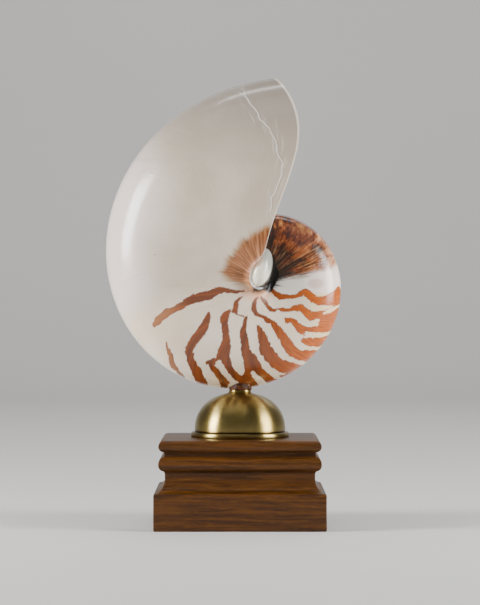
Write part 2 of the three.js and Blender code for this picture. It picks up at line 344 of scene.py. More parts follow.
# %% [markdown]
# The first tree makes a filled stretch of the whorl. It is the outside of the shell, and also
# the tool that keeps a hollow from cutting into the whorl that it is wrapped around. The margin
# pushes its surface out, and the depth below lets a tool reach past the cut plane.

# %% Tree for a filled stretch of whorl
raw = bpy.data.materials.new("raw_shell")
FLOAT, WHOLE = "NodeSocketFloat", "NodeSocketInt"

whorl_tree, v, outlet = new_tree(
    "whorl_stretch",
    {"From": FLOAT, "To": FLOAT, "Lengths": WHOLE, "Steps": WHOLE, "Rings": WHOLE,
     "Crowding": FLOAT, "Margin": FLOAT, "Below": FLOAT},
)
sides = v["Steps"] + 3
mesh = drum(whorl_tree, sides, v["Lengths"], v["Rings"])
along, spoke, spread = drum_place(whorl_tree, sides)
growth = between(v["From"], v["To"], along)
radius = spiral_radius(growth)
share, height, out_reach, out_rise = outline(spoke, v["Steps"], NAVEL_INNER, v["Crowding"])
closing = spoke.math("GREATER_THAN", v["Steps"] + 0.5)
at_keel = spoke.math("GREATER_THAN", v["Steps"] + 1.5)
share = between(share, between(NAVEL_INNER, 1, at_keel), closing)
height = between(height, -(v["Below"] / radius), closing)
open_rim = 1 - closing
margin = v["Margin"] / radius
share = share + out_reach * margin * open_rim + at_keel * margin
height = height + out_rise * margin * open_rim
share = between(SECTION_HUB_SHARE, share, spread)
height = between(SECTION_HUB_HEIGHT, height, spread)
turn = growth + line_shift(share) - line_curl(share) * closing
mesh = bend(whorl_tree, mesh, turn, radius, share, height)
finish_tree(whorl_tree, mesh, outlet, raw, flip=True)


def whorl(name, start, end, lengths, steps, rings=2, crowding=1.6, margin=0.0, below=0.0):
    return grown(
        name,
        whorl_tree,
        **{"From": start, "To": end, "Lengths": lengths, "Steps": steps, "Rings": rings},
        **{"Crowding": crowding, "Margin": margin, "Below": below},
    )


# %% [markdown]
# The second tree makes hollows: the living chamber, and the gas chambers behind it. Each hollow is
# the same outline set in by the wall's thickness, between two radial planes. The end towards the
# navel of time is always a dished wall, a septum, whose hollow side looks to the lip. One drum is
# put on each point of a row, each remembers its number, and the number sets where it goes.

# %% Tree for hollows that repeat along the spiral
WALL_THIN, WALL_THICK, WALL_LEAST = 1.1 * MM, 2.1 * MM, 0.35 * MM
WALL_THICKENS_OVER = 45
SEPTUM_THICK, SEPTUM_LEAST = 1.0 * MM, 0.3 * MM
SEPTUM_BULGE = 12
LAST_SEPTUM = 135
CHAMBER_STEP = 22.5
CHAMBER_COUNT = 33
TUBE_AT = 0.62
HOLLOW_INNER = 0.13
OVERCUT = 2.5 * MM
RADIUS_AT_SEPTUM = float(spiral_radius(np.float64(LAST_SEPTUM)))


def wall_thickness(growth):
    t = lesser(greater(growth / WALL_THICKENS_OVER, 0), 1)
    wall = t * t * (3 - t * 2) * (WALL_THICK - WALL_THIN) + WALL_THIN
    grown_share = spiral_radius(greater(growth, LAST_SEPTUM)) / RADIUS_AT_SEPTUM
    return greater(wall * grown_share, WALL_LEAST)


def half_septum(growth):
    radius = spiral_radius(growth)
    thick = greater(radius * (SEPTUM_THICK / RADIUS_AT_SEPTUM), SEPTUM_LEAST)
    return thick / (radius * (2 * TUBE_AT * RADIANS))


def repeat(tree, mesh, count):
    """One copy of the mesh for each number, with the number kept as an attribute."""
    points = tree.nodes.new("GeometryNodePoints")
    index = tree.nodes.new("GeometryNodeInputIndex")
    store = tree.nodes.new("GeometryNodeStoreNamedAttribute")
    copies = tree.nodes.new("GeometryNodeInstanceOnPoints")
    solid = tree.nodes.new("GeometryNodeRealizeInstances")
    number = tree.nodes.new("GeometryNodeInputNamedAttribute")
    store.data_type = number.data_type = "FLOAT"
    store.inputs["Name"].default_value = number.inputs["Name"].default_value = "number"
    tree.links.new(count.socket, points.inputs["Count"])
    tree.links.new(points.outputs[0], store.inputs["Geometry"])
    tree.links.new(index.outputs[0], store.inputs["Value"])
    tree.links.new(store.outputs[0], copies.inputs["Points"])
    tree.links.new(mesh, copies.inputs["Instance"])
    tree.links.new(copies.outputs[0], solid.inputs[0])
    return solid.outputs[0], Sum(tree, number.outputs["Attribute"])


hollow_tree, v, outlet = new_tree(
    "hollows",
    {"Count": WHOLE, "From": FLOAT, "Length": FLOAT, "Front Septum": FLOAT, "Lengths": WHOLE,
     "Steps": WHOLE, "Rings": WHOLE, "Below": FLOAT},
)
sides = v["Steps"] + 3
mesh, number = repeat(hollow_tree, drum(hollow_tree, sides, v["Lengths"], v["Rings"]), v["Count"])
along, spoke, spread = drum_place(hollow_tree, sides)
start = v["From"] + v["Length"] * number
end = start + v["Length"]
turn = between(start + half_septum(start) * v["Front Septum"], end - half_septum(end), along)
bulge = between(v["Front Septum"], 1, along) * (1 - spread * spread) * SEPTUM_BULGE
share, height, out_reach, out_rise = outline(spoke, v["Steps"], HOLLOW_INNER, 1)
closing = spoke.math("GREATER_THAN", v["Steps"] + 0.5)
at_keel = spoke.math("GREATER_THAN", v["Steps"] + 1.5)
share = between(share, between(HOLLOW_INNER, 1, at_keel), closing)
growth = turn + bulge - line_shift(share)
radius = spiral_radius(growth)
inset = wall_thickness(growth) / radius
out_reach = between(out_reach, at_keel, closing)
reach = (share - out_reach * inset - TUBE_AT) * spread + TUBE_AT
rise = between(height - out_rise * inset, -(v["Below"] / radius), closing) * spread
mesh = bend(hollow_tree, mesh, turn + bulge, radius, reach, rise)
finish_tree(hollow_tree, mesh, outlet, raw, flip=True)


def hollows(name, count, start, length, front, lengths, steps, rings):
    return grown(
        name,
        hollow_tree,
        **{"Count": count, "From": start, "Length": length, "Front Septum": front},
        **{"Lengths": lengths, "Steps": steps, "Rings": rings, "Below": OVERCUT},
    )


print("radius at the last septum", round(RADIUS_AT_SEPTUM / MM, 1), "mm")

# %% [markdown]
# A thin tube, the siphuncle, runs through every septum. Where it passes, the septum is drawn out
# backwards into a short collar. A third tree repeats one collar behind each septum. The same tree
# makes the bore, as one long drum.

# %% Tree for the collars and the bore of the siphuncle
COLLAR_LENGTH = 6
COLLAR_OUTER, BORE_RADIUS = 0.021, 0.013
TUBE_SPOKES = 16

tube_tree, v, outlet = new_tree(
    "siphuncle",
    {"Count": WHOLE, "From": FLOAT, "Step": FLOAT, "Length": FLOAT, "Spokes": WHOLE,
     "Lengths": WHOLE, "Rings": WHOLE, "Radius": FLOAT, "Lowest": FLOAT},
)
mesh, number = repeat(tube_tree, drum(tube_tree, v["Spokes"], v["Lengths"], v["Rings"]), v["Count"])
along, spoke, spread = drum_place(tube_tree, v["Spokes"])
turn = v["From"] + v["Step"] * number + v["Length"] * along
angle = spoke * (2 * math.pi / TUBE_SPOKES)
growth = turn - float(line_shift(np.float64(TUBE_AT)))
radius = spiral_radius(growth)
reach = cos(angle) * spread * v["Radius"] + TUBE_AT
rise = greater(sin(angle) * spread * v["Radius"], v["Lowest"])
mesh = bend(tube_tree, mesh, turn, radius, reach, rise)
finish_tree(tube_tree, mesh, outlet, raw, flip=True)


def tubes(name, count, length, lengths, radius, lowest):
    return grown(
        name,
        tube_tree,
        **{"Count": count, "From": LAST_SEPTUM + SEPTUM_BULGE, "Step": CHAMBER_STEP, "Length": length},
        **{"Spokes": TUBE_SPOKES, "Lengths": lengths, "Rings": 1, "Radius": radius, "Lowest": lowest},
    )


# %% [markdown]
# The shell itself is the filled whorl less its hollows. Each hollow must leave standing the whorl
# that it is wrapped around, so that whorl is taken out of the hollow first. The chambers are
# worked in groups of less than a turn, because a tool that met itself would not be a clean solid.
# A group is the number of its first chamber, its count, and the steps round their outline.
# Blender's manifold solver joins and cuts these fine meshes in a moment.

# %% Join and cut the shell
BEFORE_OVERLAP = 32
LONGEST_STRETCH = 300
LIP_OVERCUT = 24
OUTER_WHORL_END, INNER_WHORL_END = 240, 480
CHAMBER_GROUPS = ((0, 8, 30), (8, 9, 22), (17, 8, 14), (25, 8, 10))
PIERCED_SEPTA = CHAMBER_COUNT - 6


def combine(piece, tool, operation):
    """Joins the tool to the piece or cuts it out, and removes the tool."""
    modifier = piece.modifiers.new("cut", "BOOLEAN")
    modifier.solver = "MANIFOLD"
    modifier.operation = operation
    modifier.object = tool
    bpy.context.view_layer.update()
    evaluated = piece.evaluated_get(bpy.context.evaluated_depsgraph_get())
    mesh = bpy.data.meshes.new_from_object(evaluated)
    piece.modifiers.remove(modifier)
    piece.data = mesh
    bpy.data.objects.remove(tool)
    return piece


def spare_whorl_before(hollow, start, end, steps):
    """Takes the whorl one turn older out of a hollow, in stretches of under a turn."""
    first, last = start + 360 - BEFORE_OVERLAP, end + 360 + BEFORE_OVERLAP
    parts = math.ceil((last - first) / LONGEST_STRETCH)
    for i in range(parts):
        a, b = (first + (last - first) * n / parts for n in (i, i + 1))
        tool = whorl("before", a, b + 1, int((b - a) / 2), steps, below=OVERCUT)
        combine(hollow, tool, "DIFFERENCE")
    return hollow


shell = whorl("nautilus_shell", 0, OUTER_WHORL_END, lengths=330, steps=96, rings=6)
inner = whorl("inner_whorl", OUTER_WHORL_END, INNER_WHORL_END, lengths=240, steps=72)
combine(shell, inner, "UNION")
start, end = -LIP_OVERCUT, LAST_SEPTUM
living = hollows("living_chamber", 1, start, end - start, front=0, lengths=120, steps=64, rings=10)
combine(shell, spare_whorl_before(living, start, end, steps=72), "DIFFERENCE")
for first, count, steps in CHAMBER_GROUPS:
    start = LAST_SEPTUM + first * CHAMBER_STEP
    end = start + count * CHAMBER_STEP
    chambers = hollows("chambers", count, start, CHAMBER_STEP, front=1, lengths=8, steps=steps, rings=6)
    combine(shell, spare_whorl_before(chambers, start, end, steps=steps * 2), "DIFFERENCE")
    print("cut chambers", first, "to", first + count - 1)
collars = tubes("collars", PIERCED_SEPTA, COLLAR_LENGTH, lengths=3, radius=COLLAR_OUTER, lowest=0)
combine(shell, collars, "UNION")
bore = tubes("bore", 1, PIERCED_SEPTA * CHAMBER_STEP, lengths=240, radius=BORE_RADIUS, lowest=-1)
combine(shell, bore, "DIFFERENCE")
print("shell", len(shell.data.polygons), "faces")

# %% [markdown]
# The navel, where all growth lines meet, is closed by a plug, and a drop of porcelain-like callus
# swells over it under the lip. The drop is a sphere pulled into shape point by point: longer than
# wide, narrower at the top, and leaning with the lip. What would sink into the older whorl is
# taken away before it is joined on.

# %% Callus and plug
PLUG_RADIUS, PLUG_HEIGHT = 2.4 * MM, 20 * MM
CALLUS_PLACE = Vector((11.4, -20.9, 139.8)) * MM
CALLUS_HALF = (6.3 * MM, 10.5 * MM, 11.2 * MM)
CALLUS_LEAN = 14 * RADIANS
CALLUS_TAPER = 0.14
UNDER_CALLUS = (328, 527)
LEAN_COS, LEAN_SIN = math.cos(CALLUS_LEAN), math.sin(CALLUS_LEAN)


def basic_form(name, create, **sizes):
    """A plain mesh object from one of Blender's basic forms."""
    form = bmesh.new()
    create(form, **sizes)
    piece = mesh_object(name, [], [])
    form.to_mesh(piece.data)
    form.free()
    return piece


def drop(point):
    x, y, z = point
    narrow = 1 - CALLUS_TAPER * z
    x, y, z = x * narrow * CALLUS_HALF[0], y * narrow * CALLUS_HALF[1], z * CALLUS_HALF[2]
    return CALLUS_PLACE + Vector((x * LEAN_COS + z * LEAN_SIN, y, z * LEAN_COS - x * LEAN_SIN))


callus = basic_form("callus", bmesh.ops.create_uvsphere, u_segments=96, v_segments=60, radius=1)
for vertex in callus.data.vertices:
    vertex.co = drop(vertex.co)
under_callus = whorl("before", *UNDER_CALLUS, lengths=120, steps=72, below=OVERCUT)
combine(callus, under_callus, "DIFFERENCE")
plug = basic_form("plug", bmesh.ops.create_cone, cap_ends=True, segments=32,
                  radius1=PLUG_RADIUS, radius2=PLUG_RADIUS, depth=PLUG_HEIGHT)
for vertex in plug.data.vertices:
    x, y, z = vertex.co
    vertex.co = (AXIS_X + x, CUT_Y - PLUG_HEIGHT / 2 - z, AXIS_Z + y)
combine(shell, plug, "UNION")
combine(shell, callus, "UNION")
print("shell with callus", len(shell.data.polygons), "faces")

# %% [markdown]
# Now the surface has to be told apart: the painted outside, the pearly inside, the sawn face and
# the callus. Where a face lies in the rule of growth tells which it is. The same search gives
# every vertex its growth and its share of the radius, so that patterns can follow the growth
# lines of the real shell.

# %% Where each point lies on the shell
OUTLINE_SAMPLES = 200
SEARCH_ROUNDS = 60


def polar(points):
    x, z = points[:, 0] - AXIS_X, points[:, 2] - AXIS_Z
    return np.degrees(np.arctan2(z, x)), np.hypot(x, z)


def surface_gap(points, growth, share):
    """Distance from each point to the outside of the whorl, in its own cross-section."""
    radius = spiral_radius(growth)
    rise = (CUT_Y - points[:, 1]) / radius
    curve_share = np.cos(np.linspace(0, math.pi / 2, OUTLINE_SAMPLES)) * (1 - NAVEL_INNER) + NAVEL_INNER
    curve_rise = breadth(curve_share)
    gap = np.empty(len(points))
    for part in np.array_split(np.arange(len(points)), len(points) // 20000 + 1):
        run = share[part, None] - curve_share
        gap[part] = np.sqrt((run**2 + (rise[part, None] - curve_rise) ** 2).min(axis=1))
    return gap * radius


def place_in_growth(points):
    """Growth back from the lip and share of the radius at each point, on the turn whose outside
    is nearest, with the distance to that outside, and the growth there one turn younger."""
    angle, distance = polar(points)
    past_lip = (angle - LIP_ANGLE) % 360
    turns = []
    for turn in range(-1, 3):
        share = np.full(len(points), 0.5)
        # Growth and share depend on each other, so each round moves part of the way to both.
        for _ in range(SEARCH_ROUNDS):
            growth = past_lip - line_shift(share) + 360 * turn
            share = 0.6 * share + 0.4 * np.minimum(distance / spiral_radius(growth), 1.2)
        turns.append((growth, share, surface_gap(points, growth, share)))
    growths, shares, gaps = (np.array(part) for part in zip(*turns))
    nearest = np.argmin(np.where(growths > -2, gaps, 1), axis=0)
    row = np.arange(len(points))
    younger = np.where(nearest > 0, growths[np.maximum(nearest - 1, 0), row], -360)
    return growths[nearest, row], shares[nearest, row], gaps[nearest, row], younger


print("search ready")

# %% [markdown]
# Each face gets a material slot. The painted outside is what turns away from the middle of the
# whorl's section and lies on its outline, but not where a younger turn covers it. Close to the
# navel the outline is too steep for that test, and the depth and the way the face looks decide.
# The callus is what lies on the drop's own surface.

# %% Sort the faces by finish
PAINTED, NACRE, SAWN, CALLUS = range(4)
SURFACE_SLACK = 0.45 * MM
NAVEL_ZONE, NAVEL_DEEP, NAVEL_SHALLOW = 14 * MM, -14 * MM, -5 * MM
CALLUS_SLACK = 0.03
CUT_SLACK = 0.02 * MM


def face_table(mesh):
    count = len(mesh.polygons)
    centres, normals = np.empty(count * 3), np.empty(count * 3)
    mesh.polygons.foreach_get("center", centres)
    mesh.polygons.foreach_get("normal", normals)
    return centres.reshape(-1, 3), normals.reshape(-1, 3)


def section_middle(growth, share):
    radius = spiral_radius(growth)
    angle = (growth + LIP_ANGLE + line_shift(share)) * RADIANS
    x = AXIS_X + np.cos(angle) * SECTION_HUB_SHARE * radius
    z = AXIS_Z + np.sin(angle) * SECTION_HUB_SHARE * radius
    return np.stack([x, CUT_Y - SECTION_HUB_HEIGHT * radius, z], axis=1)


def on_drop(points, normals):
    """Whether each face lies on the callus and looks out of it."""
    off = points - np.array(CALLUS_PLACE)
    z = (off[:, 0] * LEAN_SIN + off[:, 2] * LEAN_COS) / CALLUS_HALF[2]
    narrow = 1 - CALLUS_TAPER * z
    x = (off[:, 0] * LEAN_COS - off[:, 2] * LEAN_SIN) / (CALLUS_HALF[0] * narrow)
    y = off[:, 1] / (CALLUS_HALF[1] * narrow)
    close = np.abs(np.sqrt(x**2 + y**2 + z**2) - 1) < CALLUS_SLACK
    return close & ((off * normals).sum(axis=1) > 0)


centres, normals = face_table(shell.data)
growth, share, gap, younger = place_in_growth(centres)
faces_away = ((centres - section_middle(growth, share)) * normals).sum(axis=1) > 0
on_outside = faces_away & (gap < SURFACE_SLACK) & (younger < 0.5)
_, distance = polar(centres)
depth, facing = centres[:, 1], normals[:, 1]
at_navel = distance < NAVEL_ZONE
on_outside |= at_navel & (depth < NAVEL_DEEP) & (facing < 0.3)
on_outside |= at_navel & (depth < NAVEL_SHALLOW) & (facing < -0.05)
on_cut = (np.abs(depth - CUT_Y) < CUT_SLACK) & (facing > 0.9)
kinds = np.full(len(centres), NACRE)
kinds[on_outside] = PAINTED
kinds[on_drop(centres, normals)] = CALLUS
kinds[on_cut] = SAWN
print("faces painted, pearly, sawn, callus:", np.bincount(kinds, minlength=4))

# %% [markdown]
# The flames are drawn as a brush would: each is a line of points in millimetres on the
# front view, with a width at each point. Cream slits are drawn back over them in the same way.

# %% Brush strokes of the flame pattern
STROKES = {
    "long_left": [(2.2, 127.7, 0.8), (-2.7, 127.1, 1.9), (-5.9, 127.9, 2.4), (-8.6, 128.2, 3.2),
        (-11.3, 128.2, 3.8), (-14, 126.9, 4.3), (-16.7, 125.3, 5.1), (-23.6, 123.9, 5.1),
        (-26.9, 122.7, 4.6), (-32.3, 119.3, 3.8), (-35.5, 117.7, 3.5), (-38.8, 116.4, 4),
        (-42.1, 113.9, 4.3), (-44.8, 111.2, 3.8), (-46.5, 109.3, 2.2)],
    "tall_left": [(-17, 116.4, 1.3), (-17.2, 114.2, 3), (-18, 111.5, 4), (-19.1, 108.8, 4.8),
        (-20.8, 106.1, 5.1), (-24.8, 100.7, 4.9), (-26.6, 98, 4.6), (-27.6, 95.3, 4.3),
        (-26.6, 89.8, 4.1), (-25.2, 87, 4.9), (-23.6, 84.3, 5.4), (-22.6, 81.5, 5.7),
        (-21.3, 78.6, 5.7), (-19.8, 75.6, 4.9)],
    "thin_left": [(-40.1, 100.1, 0.8), (-38.8, 95.2, 1.9), (-37.7, 92.5, 2.4), (-37.3, 89.7, 3),
        (-36.5, 86.9, 3), (-32, 81.9, 1.9), (-30.7, 80.7, 1.1)],
    "stem_top": [(1.1, 124.5, 1), (-0.5, 123.4, 1.6), (-1.9, 121.8, 2.4), (-2.2, 119.6, 3),
        (-2.7, 117.7, 3.2), (-1.9, 116.4, 1.6)],
    "stem": [(-5.4, 117.2, 1.6), (-7, 115.6, 3.2), (-8.4, 113.4, 4.6), (-8.6, 111.5, 4.3),
        (-8.2, 109.4, 3.5), (-7.9, 106.7, 4), (-7.6, 104, 3.5), (-7.4, 101.3, 4.6),
        (-7.8, 98.5, 5.7), (-8.5, 95.8, 6.5), (-9, 93.1, 7), (-10, 91.5, 6.5)],
    "stem_hook": [(-10.8, 90.4, 3.2), (-14.1, 89.6, 3.8), (-17.3, 88.7, 2.4), (-18.7, 88.7, 1.1)],
    "left_leg": [(-15.7, 87.6, 2.7), (-14.1, 85.4, 3.3), (-9.8, 80.4, 4.6), (-8.2, 77.6, 5.2),
        (-8.5, 75, 4.4)],
    "right_leg": [(-7.6, 90.4, 4.9), (-6.5, 87.1, 4.3), (-5.2, 84.6, 4.3), (-3.3, 82.4, 4.1),
        (-0.8, 80.4, 3.8), (1.6, 79, 4.4)],
    "thread": [(-4.8, 117.2, 0.6), (-3.2, 115.6, 0.6), (2.2, 113.9, 0.8)],
    "middle": [(3.4, 113.7, 1.6), (1.6, 106.1, 3.5), (2.1, 103.4, 4.3), (2.3, 100.7, 4.6),
        (2.7, 98, 4.6), (3.2, 95.3, 5.1), (5.1, 89.8, 7), (6, 87.1, 7.3), (5.4, 84.3, 5.4),
        (4.1, 81.5, 4.6), (2.2, 78.7, 4.9), (1.4, 75.9, 4.9)],
    "right_of_middle": [(9.7, 108.8, 1.6), (10.8, 106.1, 3.5), (12.1, 102.8, 4.9), (14, 95.8, 7),
        (16.3, 92.5, 7.3), (19.6, 89.5, 7.6), (23.4, 86.9, 7.6), (27.3, 85.8, 7.1),
        (30.6, 85.7, 6.6), (34.1, 86.3, 4.9), (36.3, 87.2, 2.7)],
    "long_right": [(9.7, 124.2, 1), (8.4, 122.9, 1.6), (7.5, 120.7, 2.7), (7.5, 118.5, 3),
        (8.1, 116.4, 2.7), (8.9, 115, 2.2), (11.1, 114.5, 1.6), (13.3, 113.4, 2.2),
        (14.9, 111.8, 3), (17.1, 111.2, 2.2), (18.7, 109.3, 3.5), (22.5, 103.9, 5.1),
        (26.3, 97.9, 6.2), (28.8, 94.6, 6.2), (32.1, 92.6, 5.4), (36, 92.3, 6.8), (40, 93.1, 6),
        (42.8, 94.3, 4.4)],
    "upper_right": [(11.6, 123.9, 1.6), (13.3, 122, 2.2), (14.9, 119.6, 2.4), (16.5, 117.7, 2.4),
        (18.7, 117.2, 1.6), (21.1, 118, 1.2), (23.3, 117.6, 2.4), (25.5, 117.2, 1.8),
        (27.7, 117.7, 2.2), (30.4, 118.4, 3.8), (33.1, 118.5, 4.3), (35.3, 117.7, 4.6),
        (36.9, 115.3, 4.6), (38.6, 113.6, 4.9)],
    "upper_branch": [(38.5, 113.9, 4.9), (41.8, 114.7, 4.3), (45.2, 114.4, 5.4),
        (49.1, 114.4, 8.2), (53.8, 115.7, 9.9)],
    "trunk": [(44.6, 112.5, 6.5), (48, 110.9, 9.3), (51.5, 111.4, 9.3)],
    "short_right": [(24.7, 112.8, 1.4), (26, 111.7, 3), (27.6, 112, 2.6), (29.6, 110.7, 3.5),
        (31.5, 108.5, 4.1), (33.1, 106.3, 4.1), (34.5, 104.7, 2.4)],
    "short_branch": [(32.6, 107.9, 3.3), (35.3, 107, 2.7), (38.6, 106.9, 2.7), (42.5, 106.9, 3.8),
        (46.3, 108.1, 6), (50.9, 109.7, 6.6)],
    "island": [(33.4, 100.6, 1.1), (34.8, 100.6, 3.3), (37.5, 100, 4.6), (40.9, 99.9, 5.2),
        (44.3, 100.1, 4.9), (47.8, 101.4, 3.3)],
    "top_right": [(16, 129.4, 1.4), (20.1, 125.8, 3), (22.2, 124.5, 3.4), (24.9, 124.5, 2.6),
        (27.1, 124.8, 2.1), (29.3, 124.2, 3.3), (31.5, 125, 3), (33.1, 126.4, 2.7),
        (35.3, 127, 4.1), (37.4, 125.8, 4.3), (39.6, 123.7, 4.6), (42.4, 122.3, 4.3),
        (45.7, 122.3, 4.9), (49, 122.9, 6.5), (53, 124.5, 8.2)],
    "trunk_top": [(53.6, 128.9, 2.7), (54.8, 124.5, 3.8), (54.9, 120.7, 3.8)],
    "foot_right": [(6.5, 91.4, 5.4), (7.6, 87.6, 6.5), (10.3, 84.8, 6), (13.6, 82, 6),
        (16.9, 79.7, 4.9), (19.8, 78.7, 4.9), (23.1, 79.5, 4.4), (26.4, 80.6, 3.3)],
    "rim_right": [(49.4, 103.6, 2.7), (47.2, 99.8, 2.7), (44.5, 95.7, 2.2), (41.7, 92.7, 2.7),
        (38.5, 89.4, 2.7), (35.2, 86.6, 3.3)],
    "rim_low": [(33, 85.5, 3.8), (29.7, 82.8, 4.4), (25.8, 80.6, 4.4), (22, 78.7, 4.4),
        (17.6, 76.7, 3.8), (13.7, 75.4, 3.3)],
    "foot_spur": [(3.8, 81.5, 3.8), (6, 78.7, 4.4), (8.2, 75.8, 3.8)],
}
SLITS = {
    "below_top": [(15.4, 124.5, 3.8), (17.3, 121.8, 4.6), (20.6, 121, 4.3), (23.9, 120.8, 4.3),
        (27.1, 121.3, 4.1), (30.4, 122, 3.3), (33.1, 122.9, 3.8), (35.3, 121.9, 4.1),
        (37.4, 120.1, 4.1), (40.2, 118.5, 3.7), (42.9, 118.6, 2.7), (45.7, 119.4, 1.4)],
    "below_upper": [(24.1, 114.2, 1.6), (26, 114.7, 3), (28.7, 115.3, 3), (31.5, 114.4, 3.5),
        (33.4, 112.9, 4.1), (35, 111.1, 3.8), (36.9, 109.9, 3), (39.1, 110, 2.7), (41.3, 111, 2.4),
        (42.7, 111.8, 1.6)],
    "across_trunk": [(45.3, 115.4, 0.8), (47.9, 116.6, 2), (50.7, 118, 2.3), (55.8, 120.5, 1.4)],
    "above_island": [(35.3, 104.4, 1), (37.5, 104.4, 2.1), (43, 104, 2.4), (45.9, 104.2, 2),
        (50.5, 105.3, 1.1)],
    "below_island": [(30.4, 100.6, 2.7), (32.1, 98.4, 2.7), (34.3, 97.1, 2.2), (37.6, 96.4, 1.8),
        (41, 96.1, 1.6), (44.5, 96.3, 1.4)],
    "below_right": [(22.3, 93.3, 3.3), (25, 91.5, 3), (30.5, 89.4, 2.3), (33.3, 88.6, 2.1),
        (36.3, 88.2, 1.6)],
    "across_foot": [(13.6, 87, 3.3), (15.8, 84.8, 3.5), (18.5, 82.2, 3), (20.8, 80.4, 2.2),
        (22.5, 79.3, 1.4)],
    "foot_gap": [(6.8, 83.5, 1.6), (8.7, 81.2, 2.7), (13.1, 77.2, 2.5), (15.1, 75.7, 1.6)],
    "leg_gap": [(-11.6, 88.7, 3), (-10.3, 86.3, 3.5), (-8.1, 83.2, 3), (-5.4, 80.2, 2.7),
        (-3.5, 77.9, 3), (-4.9, 75.3, 3.8)],
}
print("strokes", len(STROKES), "slits", len(SLITS))

# %% [markdown]
# The fan of tan rays and the dark film are patches, so each is an outline. The healed crack in
# the living chamber is a line from the top edge down along the lip.

# %% Outlines of the fan and the film, and the line of the crack
FAN = [(16, 163.3), (11.7, 162.2), (7.5, 159.1), (3.7, 157), (0, 154.9), (-2.1, 150.6),
    (-6.4, 146.4), (-8.6, 141.6), (-11.3, 137.9), (-9.1, 135.2), (-5.9, 133), (-2.1, 131.4),
    (3.2, 129.8), (6.5, 128.8), (12, 129.4), (15.2, 139.2), (19.6, 150), (20.7, 162.1)]
FILM = [(8.5, 143.1), (11.7, 154.8), (16, 173.4), (27.5, 175.1), (36.3, 169.6), (45, 160.8),
    (51.1, 152.5), (54.9, 143.7), (49.6, 140.3), (44, 139.2), (39.1, 137.5), (33.7, 135.9),
    (28.2, 134.8), (23.9, 133.7), (20.6, 131.5), (16.8, 129.1), (11.8, 128), (7.5, 128.5),
    (9.8, 132.7)]
CRACK = [(1.6, 238.2), (2.7, 233.8), (5.4, 228.8), (7.5, 226.6), (9.8, 223), (10.4, 219.8),
    (12.8, 217.9), (16, 214.6), (16.8, 211.5), (18.7, 208.8), (19.9, 204.3), (19.7, 201.7),
    (20.9, 199.2), (23.1, 195.6), (22.1, 193.1), (22.7, 190.3), (21.3, 186.7), (19.7, 183),
    (18.6, 179.6), (16.5, 177.1), (16.9, 173.9), (16.2, 169.7)]
print("corners", len(FAN), len(FILM), len(CRACK))

# %% [markdown]
# The distance from each vertex to the edge of the nearest stroke, patch or line is stored in
# millimetres. A distance stays smooth between vertices, so the material can cut a crisp,
# slightly ragged edge from it. Growth and share are stored too, for the lines of growth.

# %% Store the distances on the shell
FAR = 99.0


def nearest_place(x, z, start, end):
    """How far along a straight run the nearest place is, from 0 to 1, and the distance to it."""
    dx, dz = end[0] - start[0], end[1] - start[1]
    t = np.clip(((x - start[0]) * dx + (z - start[1]) * dz) / (dx * dx + dz * dz), 0, 1)
    return t, np.hypot(x - start[0] - t * dx, z - start[1] - t * dz)


def stroke_depth(x, z, stroke):
    """How far inside a brush stroke each point lies, negative outside."""
    depth = np.full(len(x), -FAR)
    for start, end in zip(stroke, stroke[1:]):
        t, away = nearest_place(x, z, start, end)
        depth = np.maximum(depth, (start[2] + (end[2] - start[2]) * t) / 2 - away)
    return depth


def patch_depth(x, z, corners):
    """How far inside a closed outline each point lies, negative outside."""
    inside, nearest = np.zeros(len(x), bool), np.full(len(x), FAR)
    for start, end in zip(corners, corners[1:] + corners[:1]):
        _, away = nearest_place(x, z, start, end)
        nearest = np.minimum(nearest, away)
        slope = (end[0] - start[0]) / (end[1] - start[1] + 1e-9)
        inside ^= ((start[1] > z) != (end[1] > z)) & (x < slope * (z - start[1]) + start[0])
    return np.where(inside, nearest, -nearest)


def side_of_line(x, z, line):
    """Distance to a line, positive on its left and negative on its right."""
    nearest, side = np.full(len(x), FAR), np.ones(len(x))
    for start, end in zip(line, line[1:]):
        _, away = nearest_place(x, z, start, end)
        turn = (end[0] - start[0]) * (z - start[1]) - (end[1] - start[1]) * (x - start[0])
        side = np.where(away < nearest, np.sign(turn), side)
        nearest = np.minimum(nearest, away)
    return side * nearest


count = len(shell.data.vertices)
places = np.empty(count * 3)
shell.data.vertices.foreach_get("co", places)
places = places.reshape(-1, 3)
growth, share, *_ = place_in_growth(places)
x, z = places[:, 0] / MM, places[:, 2] / MM
flames = np.max([stroke_depth(x, z, stroke) for stroke in STROKES.values()], axis=0)
slits = np.max([stroke_depth(x, z, stroke) for stroke in SLITS.values()], axis=0)
crack = side_of_line(x, z, CRACK)
for name, values in {
    "stripe": np.minimum(flames, -slits), "fan": patch_depth(x, z, FAN), "film": patch_depth(x, z, FILM),
    "scar": crack, "scar_near": np.abs(crack), "growth": growth / 360, "share": share,
}.items():
    attribute = shell.data.attributes.new(name, "FLOAT", "POINT")
    attribute.data.foreach_set("value", values.astype(np.float32))
print("vertices painted:", count)

# %% [markdown]
# Materials are built from noise, sums and soft steps. A few words keep that short: noise gives a
# cloudy number from a place, soft step turns a number into a mask, and blend lays one colour over
# another. Places are the object's own coordinates, so the pattern is fixed to the piece.

# %% Words for making materials


